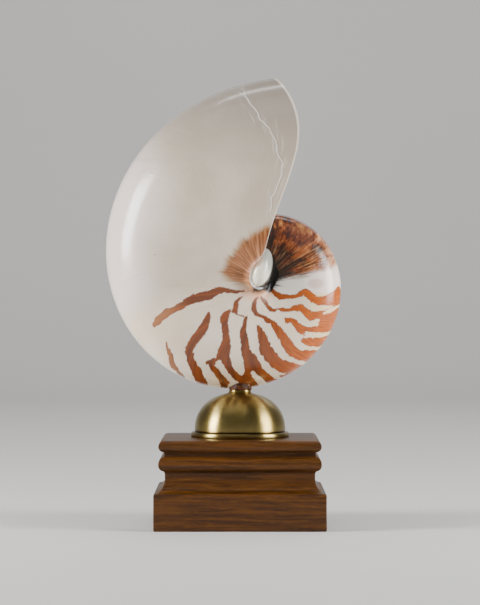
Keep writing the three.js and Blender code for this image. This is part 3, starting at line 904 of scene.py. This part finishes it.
class Finish:
    """A material with one principled shader."""

    def __init__(self, name, roughness=0.4, **constants):
        self.material = bpy.data.materials.new(name)
        self.material.use_nodes = True
        self.tree = self.material.node_tree
        self.shader = next(n for n in self.tree.nodes if n.type == "BSDF_PRINCIPLED")
        self.shader.inputs["Roughness"].default_value = roughness
        for label, value in constants.items():
            self.shader.inputs[label.replace("_", " ")].default_value = value
        self.object_place = self.node("ShaderNodeTexCoord").outputs["Object"]

    def node(self, kind, **settings):
        node = self.tree.nodes.new(kind)
        for label, value in settings.items():
            setattr(node, label, value)
        return node

    def put(self, value, place):
        if isinstance(value, Sum):
            self.tree.links.new(value.socket, place)
        elif hasattr(value, "is_output"):
            self.tree.links.new(value, place)
        else:
            place.default_value = value

    def number(self, name):
        return Sum(self.tree, self.node("ShaderNodeAttribute", attribute_name=name).outputs["Fac"])

    def axes(self):
        split = self.node("ShaderNodeSeparateXYZ")
        self.put(self.object_place, split.inputs[0])
        return [Sum(self.tree, socket) / MM for socket in split.outputs]

    def vector(self, x, y, z):
        join = self.node("ShaderNodeCombineXYZ")
        for place, value in zip(join.inputs, (x, y, z)):
            self.put(value, place)
        return join.outputs[0]

    def noise(self, scale, vector=None, detail=3.0, roughness=0.5, distortion=0.0):
        texture = self.node("ShaderNodeTexNoise")
        self.put(self.object_place if vector is None else vector, texture.inputs["Vector"])
        texture.inputs["Scale"].default_value = scale
        texture.inputs["Detail"].default_value = detail
        texture.inputs["Roughness"].default_value = roughness
        texture.inputs["Distortion"].default_value = distortion
        return Sum(self.tree, texture.outputs["Fac"])

    def step(self, value, low, high, to_low=0.0, to_high=1.0):
        ramp = self.node("ShaderNodeMapRange", interpolation_type="SMOOTHSTEP")
        self.put(value, ramp.inputs["Value"])
        ends = {"From Min": low, "From Max": high, "To Min": to_low, "To Max": to_high}
        for label, number in ends.items():
            ramp.inputs[label].default_value = number
        return Sum(self.tree, ramp.outputs["Result"])

    def blend(self, mask, under, over):
        # The node keeps its colour sockets after those for numbers and vectors.
        mix = self.node("ShaderNodeMix", data_type="RGBA", clamp_factor=True)
        self.put(mask, mix.inputs[0])
        self.put(srgb(under) if isinstance(under, str) else under, mix.inputs[6])
        self.put(srgb(over) if isinstance(over, str) else over, mix.inputs[7])
        return mix.outputs[2]

    def colour(self, value):
        self.put(value, self.shader.inputs["Base Color"])

    def rough(self, value):
        self.put(value, self.shader.inputs["Roughness"])

    def bump(self, height, depth_mm):
        bump = self.node("ShaderNodeBump")
        bump.inputs["Distance"].default_value = depth_mm * MM
        self.put(height, bump.inputs["Height"])
        self.put(bump.outputs[0], self.shader.inputs["Normal"])


def oval(x, z, middle, half):
    """Squared distance from the middle of an oval on the front view, 1 on its outline."""
    off_x, off_z = (x - middle[0]) / half[0], (z - middle[1]) / half[1]
    return off_x * off_x + off_z * off_z


def callus_oval(x, z, right=0.0, up=0.0):
    """Distance from the middle of the callus on the front view, 1 on its outline."""
    off_x, off_z = x - CALLUS_PLACE[0] / MM, z - CALLUS_PLACE[2] / MM
    across = (off_x * LEAN_COS - off_z * LEAN_SIN) / (CALLUS_HALF[0] / MM) - right
    along = (off_x * LEAN_SIN + off_z * LEAN_COS) / (CALLUS_HALF[2] / MM) - up
    return sqrt(across * across + along * along)


print("material words ready")

# %% [markdown]
# The outside is a thin cream layer with flames, worn and polished to a grey-white on the living
# chamber. It is painted in layers, from the ground up. All of them share a few noises. Some
# follow the lines of growth, and some are rays that spread from the navel: their noise is read
# from the direction to the navel, stretched along it.

# %% Painted outside: the noises its layers share
painted = Finish("painted_shell", roughness=0.36, Specular_IOR_Level=0.38,
                 Coat_Weight=0.2, Coat_Roughness=0.18)
f = painted
px, py, pz = f.axes()
nx, nz = px - AXIS_X / MM, pz - AXIS_Z / MM
reach = sqrt(nx * nx + nz * nz) + 0.01
growth, share = f.number("growth"), f.number("share")
flame, fan, film = f.number("stripe"), f.number("fan"), f.number("film")
scar, scar_near = f.number("scar"), f.number("scar_near")
rays = f.vector(nx / reach * 9, nz / reach * 9, reach * 0.03)
fine_rays = f.vector(nx / reach * 24, nz / reach * 24, reach * 0.06)
ray = f.noise(1.6, rays, detail=4, roughness=0.62)
fine_ray = f.noise(1.4, fine_rays, detail=4, roughness=0.65)
line = f.noise(1.0, f.vector(growth * 90, share * 1.4, 0.0), detail=5, roughness=0.62)
fine_line = f.noise(3.2, f.vector(growth * 130, share * 3, 0.0), detail=4, roughness=0.6)
cloud = f.noise(28, detail=3)
small = f.noise(420, detail=3, roughness=0.6)
print("shared noises ready")

# %% [markdown]
# The ground is cream with faint lines of growth, more golden at the right. The living chamber
# above it is grey-white, paler and pinkish at its left edge. Painted shade makes it greyer
# towards the lip and darker towards the top.

# %% Painted outside: cream ground and grey-white living chamber
CREAM, WARM_CREAM, CREAM_LINE, GOLDEN = "#eddfcb", "#e6d2b9", "#d6bfa0", "#fbdda4"
SHELL_WHITE, SHELL_GREY, PINKISH = "#d9ccbb", "#c5b5a1", "#f0dfd8"
PALE_LINE, DARK_LINE = "#f2ece4", "#ab9d8f"
LIP_SHADE_GREY, TOP_SHADE_GREY = "#b9ab99", "#8f857a"

ground = f.blend(f.step(cloud, 0.35, 0.7), CREAM, WARM_CREAM)
ground = f.blend(f.step(line, 0.5, 0.75) * 0.35, ground, CREAM_LINE)
ground = f.blend(f.step(px, 30, 48) * 0.8, ground, GOLDEN)
chamber = f.blend(f.step(cloud, 0.3, 0.7), SHELL_WHITE, SHELL_GREY)
left_edge = f.step(px, -34, -60)
chamber = f.blend(left_edge * 0.7, chamber, PINKISH)
chamber = f.blend(f.step(fine_line, 0.55, 0.8) * 0.3, chamber, PALE_LINE)
chamber = f.blend(f.step(line, 0.55, 0.8) * 0.3, chamber, DARK_LINE)
on_chamber = f.step(pz + nx * -0.35, 132, 150)
colour = f.blend(on_chamber, ground, chamber)
# Painted shade: greyer towards the lip and darker towards the top of the living chamber.
colour = f.blend(f.step(px, -10, 26) * on_chamber * 0.55, colour, LIP_SHADE_GREY)
colour = f.blend(f.step(pz, 180, 236) * 0.75, colour, TOP_SHADE_GREY)
print("ground painted")

# %% [markdown]
# A crack in the lip healed while the animal lived. What is left is a pale ridge line with a darker
# line of painted shade on its far side, broken here and there, and scraped paler patches close
# to it. The distance has a sign, so the two lines can lie side by side.

# %% Painted outside: healed crack
crack_place = scar + (small - 0.5) * 0.5 + (cloud - 0.5) * 0.8
near_crack = f.step(scar_near, 2.4, 1.4)
ridge = f.step(crack_place, -0.5, -0.15) * f.step(crack_place, 0.35, 0.05)
shadow = f.step(crack_place, 0.1, 0.4) * f.step(crack_place, 1.1, 0.5)
unbroken = f.step(cloud * 0.5 + line * 0.5, 0.36, 0.54)
scraped = f.step(scar_near + (line - 0.5) * 14, 7.0, 1.0) * f.step(fine_line, 0.5, 0.7)
# Painted shadow: the darker line on the far side of the ridge.
colour = f.blend(shadow * near_crack * unbroken * 0.35, colour, "#8b7c6c")
colour = f.blend(ridge * near_crack * (unbroken * 0.5 + 0.3), colour, "#f2ede4")
colour = f.blend(scraped * 0.35, colour, "#f4f0e8")
print("crack painted")

# %% [markdown]
# Below the navel lies a peach halo. Right of it, under the film, the shell is worn to a white
# patch. Beyond it lies a pale pink one with a duller spot in it, partly the shell's own tint and
# partly a painted highlight. Each is an oval whose edge is shifted by the cloudy noise.

# %% Painted outside: halo and worn patches
PEACH, PALE_PEACH = "#d98a5c", "#efb592"

below_x, below_z = px - 9.5, pz - 127.0
halo = sqrt(below_x * below_x * 0.55 + below_z * below_z * 1.9) + (ray - 0.5) * 6
peach = f.blend(f.step(ray, 0.4, 0.6), PEACH, PALE_PEACH)
colour = f.blend(f.step(halo, 10.0, 3.0) * 0.75, colour, peach)
white = f.step(oval(px, pz, (28.0, 131.5), (14, 5.5)) + (cloud - 0.5), 1.3, 0.7)
colour = f.blend(white * 0.85, colour, "#eee9de")
# Pale pink, partly the shell's own tint and partly a painted highlight of the light from the right.
pink = f.step(oval(px, pz, (46.0, 135.0), (11, 9)) + (cloud - 0.5), 1.3, 0.6)
colour = f.blend(pink * 0.9, colour, "#fdece6")
dull = f.step(oval(px, pz, (41.5, 131.8), (4.5, 3.0)) + (cloud - 0.5) * 3, 1.5, 0.3)
colour = f.blend(dull * 0.5, colour, "#c7a194")
print("patches painted")

# %% [markdown]
# The flames are browner on the left and orange on the right, a little darker along their edges.
# Their edge is made ragged by noise along the lines of growth, because the animal laid the
# colour down at the lip, line by line.

# %% Painted outside: flames
DARK_BROWN, BROWN, WORN_BROWN = "#5e2600", "#843c02", "#c98a5a"
DARK_ORANGE, ORANGE, FLAME_EDGE = "#963c00", "#cc6404", "#6e2c02"

left = f.blend(f.step(line, 0.35, 0.65), DARK_BROWN, BROWN)
left = f.blend(f.step(px, -26, -42) * 0.4, left, WORN_BROWN)
right = f.blend(f.step(fine_line, 0.3, 0.7), DARK_ORANGE, ORANGE)
flame_colour = f.blend(f.step(px, 6, 40), left, right)
flame_colour = f.blend(f.step(flame, 1.0, 0.0) * 0.3, flame_colour, FLAME_EDGE)
teeth = f.noise(1.0, f.vector(growth * 300, share * 22, 0.0), detail=2, roughness=0.6)
ragged = flame + (small - 0.5) * 1.3 + (fine_line - 0.5) * 1.2 + (teeth - 0.5) * 1.8
colour = f.blend(f.step(ragged, -0.18, 0.18) * 0.97, colour, flame_colour)
print("flames painted")

# %% [markdown]
# Left of the lip a fan of tan rays runs out over the grey as single hairs. The fan belongs to the
# last turn only, so a step in growth keeps it off the older whorl beside the lip.

# %% Painted outside: fan of rays
RAY_BROWN, RAY_TAN, RAY_ORANGE, RAY_GOLD = "#6c3a10", "#ab683a", "#d18a58", "#b08a50"

younger_side = f.step(growth, 0.42, 0.36)
fan_mask = f.step(fan + (ray - 0.5) * 6 + (fine_ray - 0.5) * 5, -2.0, 2.6) * younger_side
fan_colour = f.blend(f.step(fine_ray, 0.36, 0.64), RAY_BROWN, RAY_TAN)
fan_colour = f.blend(f.step(reach, 24, 8) * f.step(ray, 0.42, 0.62), fan_colour, RAY_ORANGE)
fan_colour = f.blend(f.step(fan, 3.5, 0.0) * 0.5, fan_colour, RAY_GOLD)
colour = f.blend(fan_mask * f.step(fine_ray, 0.75, 0.5, 0.78, 0.97), colour, fan_colour)
print("fan painted")

# %% [markdown]
# Right of the lip the older whorl is stained by a dark film. It is black at the navel and rust
# above, with golden flecks near the top, thin tan smears low down, and it fades to pink at the
# right. A mottle along the lines of growth breaks it up, and rays give it its torn edge.

# %% Painted outside: dark film
FILM_BROWN, FILM_RUST, FLECK_GOLD, STREAK_TAN = "#2e1006", "#94461a", "#d4914c", "#b08a55"
FADED_RUST, FADED_PINK, PURPLE, NEAR_BLACK = "#9a4a22", "#e3b08c", "#4a3030", "#0c0403"
SMEAR_TAN = "#a9805a"

mottle = f.noise(1.0, f.vector(growth * 34, share * 5, 0.0), detail=5, roughness=0.68)
rust = f.blend(f.step(fine_ray * 0.35 + mottle * 0.65, 0.42, 0.58), FILM_BROWN, FILM_RUST)
rust = f.blend(f.step(mottle, 0.53, 0.67) * f.step(pz, 147, 165), rust, FLECK_GOLD)
rust = f.blend(f.step(fine_ray, 0.52, 0.68) * f.step(pz, 156, 146) * 0.8, rust, STREAK_TAN)
faded = f.step(px + (mottle - 0.5) * 30 + (fine_ray - 0.5) * 16, 38, 56)
rust = f.blend(faded * 0.9, rust, f.blend(f.step(mottle, 0.42, 0.6), FADED_RUST, FADED_PINK))
purple = f.step(oval(px, pz, (33, 160), (7.75, 9.5)) + (mottle - 0.5) * 3, 1.6, 0.3)
rust = f.blend(purple * 0.5, rust, PURPLE)
black = f.step(reach + (ray - 0.5) * 12 + (mottle - 0.5) * 22, 29, 9)
black_at_lip = f.step(px + (mottle - 0.5) * 16, 24, 15) * f.step(pz, 134, 140) * 0.75
rust = f.blend(greater(black, black_at_lip), rust, NEAR_BLACK)
smear = f.step(ray * 0.5 + fine_ray * 0.5, 0.5, 0.62) * f.step(pz, 157, 148)
smear = smear * f.step(reach, 11, 19) * f.step(reach, 46, 34)
rust = f.blend(smear * 0.45, rust, SMEAR_TAN)
older_side = greater(f.step(growth, 0.44, 0.5), f.step(reach, 8.5, 7.0))
film_edge = film + (ray - 0.5) * 12 + (fine_ray - 0.5) * 8 + (small - 0.5) * 2
colour = f.blend(f.step(film_edge, -2.4, 2.4) * older_side * 0.97, colour, rust)
print("film painted")

# %% [markdown]
# Last come a black painted shadow round the right and lower side of the callus, the pale line of
# the lip's thin edge, partly its own colour and partly a painted highlight, and dark specks. The
# living chamber is polished best, so it gets the lowest roughness. The relief is very low: lines of
# growth, and the flames just above the cream.

# %% Painted outside: callus shadow, lip line, specks, gloss and relief
CALLUS_SHADOW, LIP_PALE_AND_HIGHLIGHT, SPECK = "#0a0504", "#f3e6d2", "#57483c"

off_x, off_z = px - CALLUS_PLACE[0] / MM, pz - CALLUS_PLACE[2] / MM
right_side = f.step(off_x * 0.9 - off_z * 0.5, 0.5, 3.0)
low_corner = f.step(off_x, 0.0, 6.0) * f.step(off_z, 4.0, -4.0)
callus_shadow_place = callus_oval(px, pz) - low_corner * 0.5 + (small - 0.5) * 0.1
# Painted shadow: black round the right and lower side of the callus.
colour = f.blend(f.step(callus_shadow_place, 1.2, 1.06) * right_side, colour, CALLUS_SHADOW)
# The pale lip line: partly its own colour and partly a painted highlight.
colour = f.blend(f.step(growth * 360, 0.95, 0.55) * 0.8, colour, LIP_PALE_AND_HIGHLIGHT)
speck = f.step(f.noise(900, detail=1), 0.74, 0.78) * f.step(cloud, 0.5, 0.62)
f.colour(f.blend(speck * 0.5, colour, SPECK))
gloss = f.step(cloud + (line - 0.5) * 0.6, 0.3, 0.8, 0.19, 0.28)
f.rough(gloss - on_chamber * 0.03 - left_edge * 0.03)
f.bump(line * 0.6 + fine_line * 0.4 + f.step(ragged, -0.3, 0.3) * 0.1, 0.25)
print("painted outside:", len(f.tree.nodes), "nodes")

# %% [markdown]
# Inside, the shell is nacre. Its lustre comes from very thin layers, which show soft bands of pink
# and green. A low roughness with a clear coat gives the shine, and slow bands of noise give
# the colour.

# %% Finish of the nacre
nacre = Finish("nacre", roughness=0.22, Coat_Weight=0.5, Coat_Roughness=0.08)
f = nacre
cloud = f.noise(18, detail=2, distortion=1.2)
line = f.noise(1.0, f.vector(f.number("growth") * 60, f.number("share") * 2, 0.0), detail=4)
pearl = f.blend(f.step(cloud, 0.35, 0.5), "#e8dcd6", "#e3e3d6")
pearl = f.blend(f.step(cloud, 0.52, 0.68), pearl, "#d4dcdc")
f.colour(f.blend(f.step(line, 0.45, 0.75) * 0.5, pearl, "#efe3dc"))
f.rough(f.step(line, 0.3, 0.7, 0.16, 0.3))
f.bump(line, 0.15)
print("nacre:", len(f.tree.nodes), "nodes")

# %% [markdown]
# The sawn edge is matt and chalky, with the faint straight marks of the saw. The marks are noise
# stretched along the way the blade went.

# %% Finish of the sawn edge
sawn = Finish("sawn_edge", roughness=0.62)
f = sawn
px, py, pz = f.axes()
marks = f.noise(1.0, f.vector(px * 0.06, 0.0, pz * 2.2), detail=4, roughness=0.6)
chalk = f.blend(f.step(marks, 0.35, 0.7), "#efe8dc", "#dccfbd")
f.colour(f.blend(f.step(f.noise(160, detail=3), 0.55, 0.75) * 0.4, chalk, "#c9b9a4"))
f.bump(marks, 0.08)
print("sawn edge:", len(f.tree.nodes), "nodes")

# %% [markdown]
# The callus is white porcelain. Painted shade makes it greyer at its upper right, and a painted
# shadow makes it almost black at its right and lower edge. With the last finish made, all four go
# on the shell in the order of their slots.

# %% Finish of the callus, and the shell attached to its body
callus_finish = Finish("callus_porcelain", roughness=0.28, Coat_Weight=0.3, Coat_Roughness=0.12)
f = callus_finish
px, py, pz = f.axes()
cloud = f.noise(120, detail=3)
white = f.blend(f.step(cloud, 0.4, 0.7), "#fff8e8", "#f6ecd6")
# Painted shade: greyer towards the upper right.
upper_right = px - CALLUS_PLACE[0] / MM + (pz - CALLUS_PLACE[2] / MM) * 0.45 + (cloud - 0.5) * 2
white = f.blend(f.step(upper_right, 0.5, 6.0) * 0.8, white, "#84857e")
# Painted shadow: almost black round the right and lower edge.
edge = callus_oval(px, pz, right=-0.16, up=0.1) + (cloud - 0.5) * 0.1
f.colour(f.blend(f.step(edge, 0.96, 1.1), white, "#120d0c"))

shell.data.materials.clear()
for finish in (painted, nacre, sawn, callus_finish):
    shell.data.materials.append(finish.material)
shell.data.polygons.foreach_set("material_index", kinds.astype(np.int32))
shell.data.shade_smooth()
shell.data.set_sharp_from_angle(angle=math.radians(35))
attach(shell, "root")
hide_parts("shell")
print("shell finished")

# %% [markdown]
# The plinth is one block with the same moulding on its four sides: a tall foot, a cove, and two
# round rolls, mitred at the corners. Its outline is swept round the four corners. Round parts
# get many small faces, and each real edge gets a narrow chamfer, because wood is never
# quite sharp and a thin bright line on each edge tells the eye that it is solid.

# %% Plinth
PLINTH_HALF_WIDTH, PLINTH_HALF_DEPTH = 46.0, 42.5
ARC_FACES = 14
EDGE_CHAMFER = 0.25


def arc(half, z, out, rise, start, end, faces=ARC_FACES):
    """Half-widths and heights along a round stretch of the outline, between two angles."""
    turns = np.radians(np.linspace(start, end, faces + 1))
    return [(half + out * math.cos(t), z + rise * math.sin(t)) for t in turns]


FOOT = [(45.4, 0.0), (45.8, 0.2), (46.0, 0.6), (46.0, 19.15), (45.75, 19.4), (45.5, 19.75)]
COVE = {"half": 45.5, "z": 28.0, "out": 5.5, "rise": 8.1, "start": -90, "end": -180}
LOWER_ROLL = {"half": 40.8, "z": 35.4, "out": 2.7, "rise": 3.7, "start": -90, "end": 90}
UPPER_ROLL = {"half": 40.4, "z": 44.9, "out": 3.0, "rise": 3.1, "start": -90, "end": 90}
COVE_LIP, ROLL_GROOVE = (40.1, 30.7), (40.5, 40.4)
moulding = [*FOOT, *arc(**COVE), COVE_LIP, *arc(**LOWER_ROLL), ROLL_GROOVE, *arc(**UPPER_ROLL)]


def chamfered_corners(half, chamfer):
    """Eight points round a rectangle whose corners are cut off narrowly."""
    w, d = half, half - (PLINTH_HALF_WIDTH - PLINTH_HALF_DEPTH)
    c = chamfer
    return [(-w + c, -d), (w - c, -d), (w, -d + c), (w, d - c),
            (w - c, d), (-w + c, d), (-w, d - c), (-w, -d + c)]


points = [(x * MM, y * MM, z * MM) for half, z in moulding
          for x, y in chamfered_corners(half, EDGE_CHAMFER)]
faces = []
for i in range(len(moulding) - 1):
    for j in range(8):
        a, b = i * 8 + j, i * 8 + (j + 1) % 8
        faces.append([a, b, b + 8, a + 8])
faces.append(list(range(8))[::-1])
faces.append([len(points) - 8 + j for j in range(8)])
wood = Finish("plinth_wood", roughness=0.5, Specular_IOR_Level=0.25,
              Coat_Weight=0.06, Coat_Roughness=0.2)
plinth = mesh_object("moulded_plinth", points, faces, [wood.material], smooth_below=30)

# The grain runs along each moulding, so each face stores which way is along.
lengthwise = plinth.data.attributes.new("lengthwise", "FLOAT", "FACE")
facing_side = [float(abs(face.normal.x) > abs(face.normal.y) + 0.01)
               for face in plinth.data.polygons]
lengthwise.data.foreach_set("value", facing_side)
print("plinth", len(plinth.data.polygons), "faces")

# %% [markdown]
# The wood is a close-grained brown hardwood under satin lacquer. Grain is noise pulled out along
# one axis. A slow layer gives broad reddish and golden bands, a middle one the growth rings, and
# a fine one the dark pores. The grooves are darker, with painted shade.

# %% Finish of the wood
f = wood
px, py, pz = f.axes()
side = f.number("lengthwise")
along = between(px, py, side)
across = between(py, px, side)
warp = f.noise(1.0, f.vector(along * 0.02, across * 0.05, pz * 0.05), detail=2) * 6
grain_place = f.vector(along * 0.028, across * 0.35, pz * 0.55 + warp * 0.3)
bands = f.noise(1.0, grain_place, detail=4, roughness=0.6, distortion=0.4)
rings = f.noise(1.0, f.vector(along * 0.16, across * 1.6, pz * 4.0 + warp), detail=4, roughness=0.65)
pores = f.noise(1.0, f.vector(along * 0.8, across * 5.0, pz * 10.0), detail=3, roughness=0.7)
wood_colour = f.blend(f.step(bands, 0.32, 0.68), "#341b03", "#583206")
wood_colour = f.blend(f.step(rings, 0.5, 0.72) * 0.32, wood_colour, "#8f5c14")
wood_colour = f.blend(f.step(rings, 0.48, 0.3) * 0.2, wood_colour, "#2a1603")
wood_colour = f.blend(f.step(pores, 0.56, 0.72) * 0.35, wood_colour, "#1f0f03")
# Painted shade: the two grooves of the moulding are darkened.
low_groove_shade = f.step(pz, 29.5, 30.5) * f.step(pz, 32.6, 31.4) * 0.6
high_groove_shade = f.step(pz, 39.4, 40.2) * f.step(pz, 42.0, 41.2)
f.colour(f.blend((low_groove_shade + high_groove_shade) * 0.55, wood_colour, "#140702"))
f.rough(f.step(bands + pores * 0.3, 0.3, 0.9, 0.3, 0.46))
f.bump(rings * 0.4 - f.step(pores, 0.55, 0.75), 0.05)
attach(plinth, "root")
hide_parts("plinth")
print("wood:", len(f.tree.nodes), "nodes")

# %% [markdown]
# Flange, dome and neck are turned on a lathe, so each is an outline swept round an axis. The
# outline is dense where it curves, and small fillets soften the rims. The dome is a little squarer
# than a half circle, so its curve is raised to a power. Fine marks run round turned brass and
# draw a highlight out along the dome, from foot to crown, which is the anisotropic term.

# %% Brass holder
LATHE_SIDES = 128
FLANGE_RADIUS, FLANGE_FOOT, FLANGE_TOP = 27.0, 48.0, 50.8
RIM_ROUND = 0.9
DOME_RADIUS, DOME_FOOT, DOME_TOP, DOME_SQUARENESS = 24.9, 51.4, 72.4, 2.25
NECK_RADIUS, NECK_TOP = 6.15, 73.6


def lathe(name, profile, materials, smooth_below=40):
    """A closed solid of revolution. The outline starts and ends on the axis."""
    n = LATHE_SIDES
    turns = [2 * math.pi * i / n for i in range(n)]
    rim = profile[1:-1]
    points = [(r * math.cos(t) * MM, r * math.sin(t) * MM, z * MM) for r, z in rim for t in turns]
    faces = [[i * n + j, i * n + (j + 1) % n, (i + 1) * n + (j + 1) % n, (i + 1) * n + j]
             for i in range(len(rim) - 1) for j in range(n)]
    foot, top, last = len(points), len(points) + 1, (len(rim) - 1) * n
    points += [(0, 0, profile[0][1] * MM), (0, 0, profile[-1][1] * MM)]
    faces += [[foot, (j + 1) % n, j] for j in range(n)]
    faces += [[top, last + j, last + (j + 1) % n] for j in range(n)]
    return mesh_object(name, points, faces, materials, smooth_below=smooth_below)


brass = Finish("aged_brass", roughness=0.3, Metallic=1.0, Anisotropic=0.85, Anisotropic_Rotation=0.25)
flange_outline = [
    (0, FLANGE_FOOT), (20, FLANGE_FOOT), *arc(FLANGE_RADIUS - RIM_ROUND, 49.4, RIM_ROUND, 1.4, -90, 90),
    (24.6, FLANGE_TOP), (24.5, 50.6), (24.2, 50.6), (0, 50.6),
]
crown = math.asin(NECK_RADIUS / DOME_RADIUS)
dome_outline = [(0, 50.8), (24.3, 50.8), (24.6, 50.95)]
for turn in np.linspace(0, math.pi / 2 - crown, 49):
    out, up = (value ** (2 / DOME_SQUARENESS) for value in (math.cos(turn), math.sin(turn)))
    dome_outline.append((DOME_RADIUS * out, DOME_FOOT + (DOME_TOP - DOME_FOOT) * up))
dome_outline += [(6.4, DOME_TOP - 0.05), (6.2, DOME_TOP), (0, DOME_TOP)]
neck_outline = [
    (0, DOME_TOP), (6.3, DOME_TOP), (6.2, DOME_TOP + 0.15), *arc(5.9, 73.0, 0.3, 0.4, -80, 80, 6),
    (5.9, NECK_TOP), (0, NECK_TOP),
]
for node, outline_points, angle in (
    ("flange", flange_outline, 40), ("dome", dome_outline, 30), ("neck", neck_outline, 40)
):
    piece = lathe("brass_" + node, outline_points, [brass.material], smooth_below=angle)
    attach(piece, "root")
    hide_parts(node)
    print(piece.name, len(piece.data.polygons), "faces")

# %% [markdown]
# Old brass is seldom one colour. Tarnish darkens it in soft clouds, it is darker in the groove
# at the foot, and polishing leaves fine marks round the dome. The marks are noise stretched round
# the axis: it is read from the height and the distance to the axis, which do not change round it.

# %% Finish of the brass
f = brass
px, py, pz = f.axes()
around = sqrt(px * px + py * py)
marks = f.noise(1.0, f.vector(around * 6, pz * 6, px * 0.02), detail=4, roughness=0.7)
cloud = f.noise(70, detail=4, roughness=0.6)
spots = f.noise(520, detail=2)
metal = f.blend(f.step(cloud, 0.35, 0.7), "#a8945a", "#948048")
metal = f.blend(f.step(cloud, 0.55, 0.8) * 0.25, metal, "#8a7642")
metal = f.blend(f.step(spots, 0.66, 0.78) * 0.4, metal, "#5f4a24")
# Darker in the groove where the dome meets the flange.
groove = f.step(pz, 52.6, 51.0) * f.step(pz, 50.3, 50.9)
metal = f.blend(groove * 0.75, metal, "#3a2b12")
f.colour(metal)
f.rough(f.step(marks * 0.4 + cloud * 0.6, 0.35, 0.7, 0.27, 0.36))
f.bump(marks, 0.008)
print("brass:", len(f.tree.nodes), "nodes")

# %% [markdown]
# The shell is held by a thick bead of glue, squeezed out unevenly round the neck. Its dark brown
# is partly the glue's own colour and partly painted shade under the shell. The bead is a short
# lathe shape pushed in and out by a sum of waves, with the underside of the shell cut out of it,
# so that it fits the shell everywhere.

# %% Glue bead
BEAD_FOOT, BEAD_TOP = 73.6, 79.5
BEAD_RIM = [(5.4, 73.6), (6.0, 73.7), (6.35, 74.0), (6.45, 74.6), (6.4, 75.3), (6.35, 76.2), (6.3, 77.6)]
BEAD_WAVES = ((0.03, 3, 0.7), (0.02, 7, 2.1), (0.012, 13, 0.0))
BEAD_SHRINK = 0.965
DRIP, DRIP_BELOW = 0.35, 74.2
OVER_BEAD = (150, 220)

glue = Finish("dark_glue_and_shade", roughness=0.6, Specular_IOR_Level=0.2)
bead_outline = [(0, BEAD_FOOT), *BEAD_RIM, (0, BEAD_TOP)]
bead = lathe("glue_bead_ring", bead_outline, [glue.material], smooth_below=60)
for vertex in bead.data.vertices:
    x, y, z = vertex.co
    angle = math.atan2(y, x)
    wide = BEAD_SHRINK + sum(size * math.sin(count * angle + start) for size, count, start in BEAD_WAVES)
    drip = DRIP * MM * max(0.0, math.sin(5 * angle + 1.0)) * (z < DRIP_BELOW * MM)
    vertex.co = (x * wide, y * wide, max(z - drip, BEAD_FOOT * MM))
under_shell = whorl("underside", *OVER_BEAD, lengths=120, steps=72, margin=0.02 * MM, below=6 * MM)
combine(bead, under_shell, "DIFFERENCE")
bead.data.materials.clear()
bead.data.materials.append(glue.material)
bead.data.polygons.foreach_set("material_index", np.zeros(len(bead.data.polygons), np.int32))
bead.data.shade_smooth()
bead.data.set_sharp_from_angle(angle=math.radians(50))
f = glue
lumps = f.noise(600, detail=3)
# Dark brown, partly the glue's own colour and partly painted shade under the shell.
f.colour(f.blend(f.step(lumps, 0.35, 0.7), "#2c1406", "#5a3010"))
f.rough(f.step(lumps, 0.35, 0.65, 0.45, 0.65))
f.bump(lumps, 0.3)
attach(bead, "root")
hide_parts("glue_bead")
print("bead", len(bead.data.polygons), "faces")

# %% [markdown]
# A plain pale floor runs up into a pale backdrop, with a wide bend between them, so that no
# corner shows behind the piece.

# %% Floor and backdrop
FLOOR_BACK, FLOOR_SIDE, FLOOR_FRONT = 1.6, 4.0, 3.0
BEND_RADIUS, BEND_FACES, BACK_HEIGHT = 0.8, 12, 3.5

profile = [(-FLOOR_FRONT, 0.0), (FLOOR_BACK, 0.0)]
for i in range(1, BEND_FACES + 1):
    angle = math.pi / 2 * i / BEND_FACES
    out, up = math.sin(angle), 1 - math.cos(angle)
    profile.append((FLOOR_BACK + BEND_RADIUS * out, BEND_RADIUS * up))
profile.append((FLOOR_BACK + BEND_RADIUS, BACK_HEIGHT))
points = [(side * FLOOR_SIDE, y, z) for y, z in profile for side in (-1, 1)]
faces = [[2 * i, 2 * i + 1, 2 * i + 3, 2 * i + 2] for i in range(len(profile) - 1)]
paper = Finish("backdrop_paper", roughness=0.75)
paper.colour(paper.blend(paper.noise(3, detail=2), "#d8d6d3", "#dddbd8"))
floor = mesh_object("floor", points, faces, [paper.material], smooth_below=40)
print("floor", len(faces), "faces")

# %% [markdown]
# Two tall soft boxes stand at the left and the right, nearly level with the piece and a little in
# front of it. They give the long highlights on the shell's edge and on the dome. A weak one
# above fills the shadows, one behind lights the cut face's rim, and one lights the backdrop.

# %% Light
AIM = (0, 0, 0.13)
BACKDROP = (0, 2.3, 0.7)
WORLD_COLOUR, WORLD_STRENGTH = (0.9, 0.92, 1.0, 1.0), 0.13


def soft_box(name, place, aim, width, height, watts):
    lamp = bpy.data.lights.new(name, "AREA")
    lamp.shape = "RECTANGLE"
    lamp.size, lamp.size_y, lamp.energy = width, height, watts
    piece = bpy.data.objects.new(name, lamp)
    piece.location = place
    piece.rotation_euler = (Vector(aim) - Vector(place)).to_track_quat("-Z", "Y").to_euler()
    bpy.context.collection.objects.link(piece)


soft_box("soft_box_left", (-0.96, -0.28, 0.35), AIM, 0.32, 0.6, 20)
soft_box("soft_box_right", (0.97, -0.28, 0.34), AIM, 0.42, 0.65, 19)
soft_box("soft_box_top", (-0.2, -0.5, 1.7), AIM, 1.4, 0.7, 2.5)
soft_box("soft_box_back", (0.4, 1.1, 1.0), AIM, 0.8, 0.6, 1.5)
soft_box("soft_box_backdrop", (0, 0.7, 2.2), BACKDROP, 1.6, 0.6, 24)
world = bpy.data.worlds.new("studio")
world.use_nodes = True
background = next(n for n in world.node_tree.nodes if n.type == "BACKGROUND")
background.inputs["Color"].default_value = WORLD_COLOUR
background.inputs["Strength"].default_value = WORLD_STRENGTH
bpy.context.scene.world = world
print("soft boxes:", len(bpy.data.lights))
